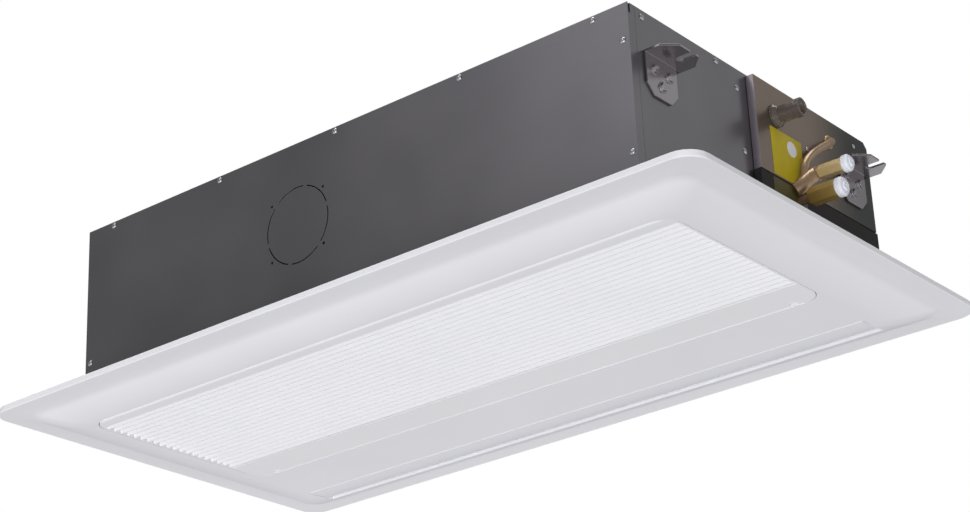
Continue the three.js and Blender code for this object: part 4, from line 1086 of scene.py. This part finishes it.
FILM_THICK, FOLD_THICK = 0.3 * MM, 0.4 * MM
PATCH_RADIUS, PATCH_THICK = 11 * MM, 0.2 * MM

# Corners of the film on the cover and of its tail on the pad, and the patch's middle: y and z.
FILM_CORNERS = ((15 * MM, 122 * MM), (89 * MM, 190 * MM))
TAIL_CORNERS = ((13 * MM, 94 * MM), (92 * MM, 117.5 * MM))
PATCH_MIDDLE = (63.7 * MM, 172 * MM)


class CASSETTE_OT_films(bpy.types.Operator):
    """Lays the blank film on the cover and its tail on the pad, dull olive as painted shade, and
    the strip along the cover's fold, pale as a painted highlight
    """

    bl_idname = "cassette.films"
    bl_label = "Blank films and fold"

    def execute(self, context):
        low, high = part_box("pipe_cover")
        self.film("blank_film", high.x, FILM_CORNERS, "film")
        self.patch(Vector((high.x + FILM_THICK, *PATCH_MIDDLE)))
        # The film carried on down the pad in a dull olive: painted shade.
        self.film("film_tail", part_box("foot_pad")[1].x, TAIL_CORNERS, "film_shade")
        # A paler strip on the cover's near step: painted highlight.
        start = (low.x + 0.6 * MM, low.y - FOLD_THICK, low.z)
        self.strip("cover_fold", start, (high.x, low.y, high.z - 1 * MM), "fold")
        return {"FINISHED"}

    def film(self, name, face, corners, finish):
        """A film that lies on a face at this x."""
        start, end = corners
        self.strip(name, (face, *start), (face + FILM_THICK, *end), finish)

    def strip(self, name, start, end, finish):
        """A thin strip from corner to corner, with its edges eased."""
        strip = settled(rounded(box_mesh(name, start, end), 0.1 * MM))
        placed(strip, "casing", finish)

    def patch(self, centre):
        """The round pale patch on the film."""
        profile = [(0, PATCH_RADIUS), (PATCH_THICK, PATCH_RADIUS)]
        patch = turned_mesh("blank_patch", centre, ALONG_X, profile, 40)
        placed(settled(patch), "casing", "paper")


# The camera that the photograph was taken with, in degrees, millimetres and metres.
CAMERA_TURN, CAMERA_RISE, CAMERA_ROLL = 38.34, -23.78, 2.58
CAMERA_LENS, CAMERA_SENSOR = 86.1, 36
CAMERA_PLACE = (1.8496, -2.302, -1.1474)

FLOOR_HEIGHT = -3.0
FLOOR_HALF = 60
FLOOR_WHITE = 0.8

# Suns: name, part of the key's strength, spread in degrees, place that it shines from.
SUNS = (
    ("key light", 1.0, 24, (2.2, -4.0, -3.0)),
    ("overhead light", 0.5, 40, (0, 0, 3)),
)

# Wide lamps: name, place, target, size, watts.
LAMPS = (
    ("top lamp", (-0.9, -3.2, 2.4), (0.2, 0, 0.1), 1.6, 10.0),
    ("end lamp", (2.6, 2.4, 1.9), (0.5, 0, 0.1), 1.6, 3.0),
    ("far lamp", (-1.0, 1.6, -2.4), (-0.3, 0.2, 0), 1.0, 8.0),
)


class CASSETTE_OT_stage(bpy.types.Operator):
    """Makes the floor, the surroundings, the lamps and the camera"""

    bl_idname = "cassette.stage"
    bl_label = "Stage"

    def execute(self, context):
        self.floor()
        self.world()
        self.lamps()
        self.camera()
        bpy.context.scene.view_settings.view_transform = "Standard"
        return {"FINISHED"}

    def floor(self):
        """A pale floor, seen from above only. It takes the unit's shadow, and casts none itself."""
        shape = bmesh.new()
        bmesh.ops.create_grid(shape, x_segments=1, y_segments=1, size=FLOOR_HALF)
        bmesh.ops.translate(shape, verts=shape.verts, vec=(0, 0, FLOOR_HEIGHT))
        piece = object_from_bmesh("floor", shape)
        made, tree, shader = new_material("Floor, matt pale grey", linear("#a4a4a4"), 0.9)
        glow = add_node(tree, "ShaderNodeEmission", {"Color": (1, 1, 1, 1), "Strength": 1.0})
        ray = add_node(tree, "ShaderNodeLightPath")
        seen = add_node(
            tree,
            "ShaderNodeMath",
            {0: ray.outputs["Is Camera Ray"], 1: ray.outputs["Is Glossy Ray"]},
            operation="MAXIMUM",
        )
        share = add_node(
            tree, "ShaderNodeMath", {0: seen.outputs["Value"], 1: FLOOR_WHITE}, operation="MULTIPLY"
        )
        top = add_node(
            tree,
            "ShaderNodeMixShader",
            {0: share.outputs["Value"], 1: shader.outputs["BSDF"], 2: glow.outputs["Emission"]},
        )
        clear = add_node(tree, "ShaderNodeBsdfTransparent")
        facing = add_node(tree, "ShaderNodeNewGeometry")
        one_sided = add_node(
            tree,
            "ShaderNodeMixShader",
            {0: facing.outputs["Backfacing"], 1: top.outputs["Shader"], 2: clear.outputs["BSDF"]},
        )
        tree.links.new(
            one_sided.outputs["Shader"], tree.nodes["Material Output"].inputs["Surface"]
        )
        piece.data.materials.append(made)
        piece.visible_shadow = False

    def world(self):
        """Even light from all round, seen as the backdrop's colour by the camera."""
        world = bpy.data.worlds.new("Studio")
        world.use_nodes = True
        tree = world.node_tree
        fill = tree.nodes["Background"]
        fill.inputs["Color"].default_value = (1, 1, 1, 1)
        fill.inputs["Strength"].default_value = settings().fill
        backdrop = add_node(
            tree, "ShaderNodeBackground", {"Color": settings().backdrop[:], "Strength": 1.0}
        )
        ray = add_node(tree, "ShaderNodeLightPath")
        seen = add_node(
            tree,
            "ShaderNodeMath",
            {0: ray.outputs["Is Camera Ray"], 1: ray.outputs["Is Transmission Ray"]},
            operation="MAXIMUM",
        )
        mix = add_node(
            tree,
            "ShaderNodeMixShader",
            {
                0: seen.outputs["Value"],
                1: fill.outputs["Background"],
                2: backdrop.outputs["Background"],
            },
        )
        tree.links.new(mix.outputs["Shader"], tree.nodes["World Output"].inputs["Surface"])
        bpy.context.scene.world = world

    def lamps(self):
        """A low key light and an overhead one, both soft-edged, and three wide lamps."""
        for name, part, spread, place in SUNS:
            data = bpy.data.lights.new(name, "SUN")
            data.energy = settings().key_strength * part
            data.angle = math.radians(spread)
            self.aim(object_from(name, data), place, (0, 0, 0))
        for name, place, target, size, watts in LAMPS:
            data = bpy.data.lights.new(name, "AREA")
            data.energy = watts
            data.size = size
            self.aim(object_from(name, data), place, target)

    def aim(self, lamp, place, target):
        lamp.location = place
        lamp.rotation_mode = "QUATERNION"
        lamp.rotation_quaternion = (Vector(target) - Vector(place)).to_track_quat("-Z", "Y")

    def camera(self):
        """The photograph's view: below the unit, on its near pipe corner."""
        turn, rise, roll = (math.radians(v) for v in (CAMERA_TURN, CAMERA_RISE, CAMERA_ROLL))
        level = Vector((math.sin(turn), -math.cos(turn), 0))
        back = level * math.cos(rise) + ALONG_Z * math.sin(rise)
        right = ALONG_Z.cross(back).normalized()
        up = back.cross(right)
        rolled_right = right * math.cos(roll) - up * math.sin(roll)
        rolled_up = right * math.sin(roll) + up * math.cos(roll)
        data = bpy.data.cameras.new("camera")
        data.sensor_width = CAMERA_SENSOR
        data.lens = CAMERA_LENS
        camera = object_from("camera", data)
        axes = Matrix((rolled_right, rolled_up, back)).transposed().to_4x4()
        camera.matrix_world = Matrix.Translation(CAMERA_PLACE) @ axes
        bpy.context.scene.camera = camera


OPERATORS = (
    CASSETTE_OT_inside,
    CASSETTE_OT_panel,
    CASSETTE_OT_door,
    CASSETTE_OT_casing,
    CASSETTE_OT_screws,
    CASSETTE_OT_pipes,
    CASSETTE_OT_films,
    CASSETTE_OT_stage,
)


class CASSETTE_PT_panel(bpy.types.Panel):
    """Lists the settings, and the pieces in the order that they are made"""

    bl_idname = "CASSETTE_PT_panel"
    bl_label = "Cassette"
    bl_space_type = "VIEW_3D"
    bl_region_type = "UI"
    bl_category = "Cassette"

    def draw(self, context):
        for name in CassetteSettings.__annotations__:
            self.layout.prop(context.scene.cassette, name)
        for operator in OPERATORS:
            self.layout.operator(operator.bl_idname)


CLASSES = (CassetteSettings, *OPERATORS, CASSETTE_PT_panel)


def register():
    for made in CLASSES:
        bpy.utils.register_class(made)
    bpy.types.Scene.cassette = PointerProperty(type=CassetteSettings)


def unregister():
    del bpy.types.Scene.cassette
    for made in reversed(CLASSES):
        bpy.utils.unregister_class(made)


def main():
    register()
    for operator in OPERATORS:
        group, name = operator.bl_idname.split(".")
        getattr(getattr(bpy.ops, group), name)()


if __name__ == "__main__":
    main()
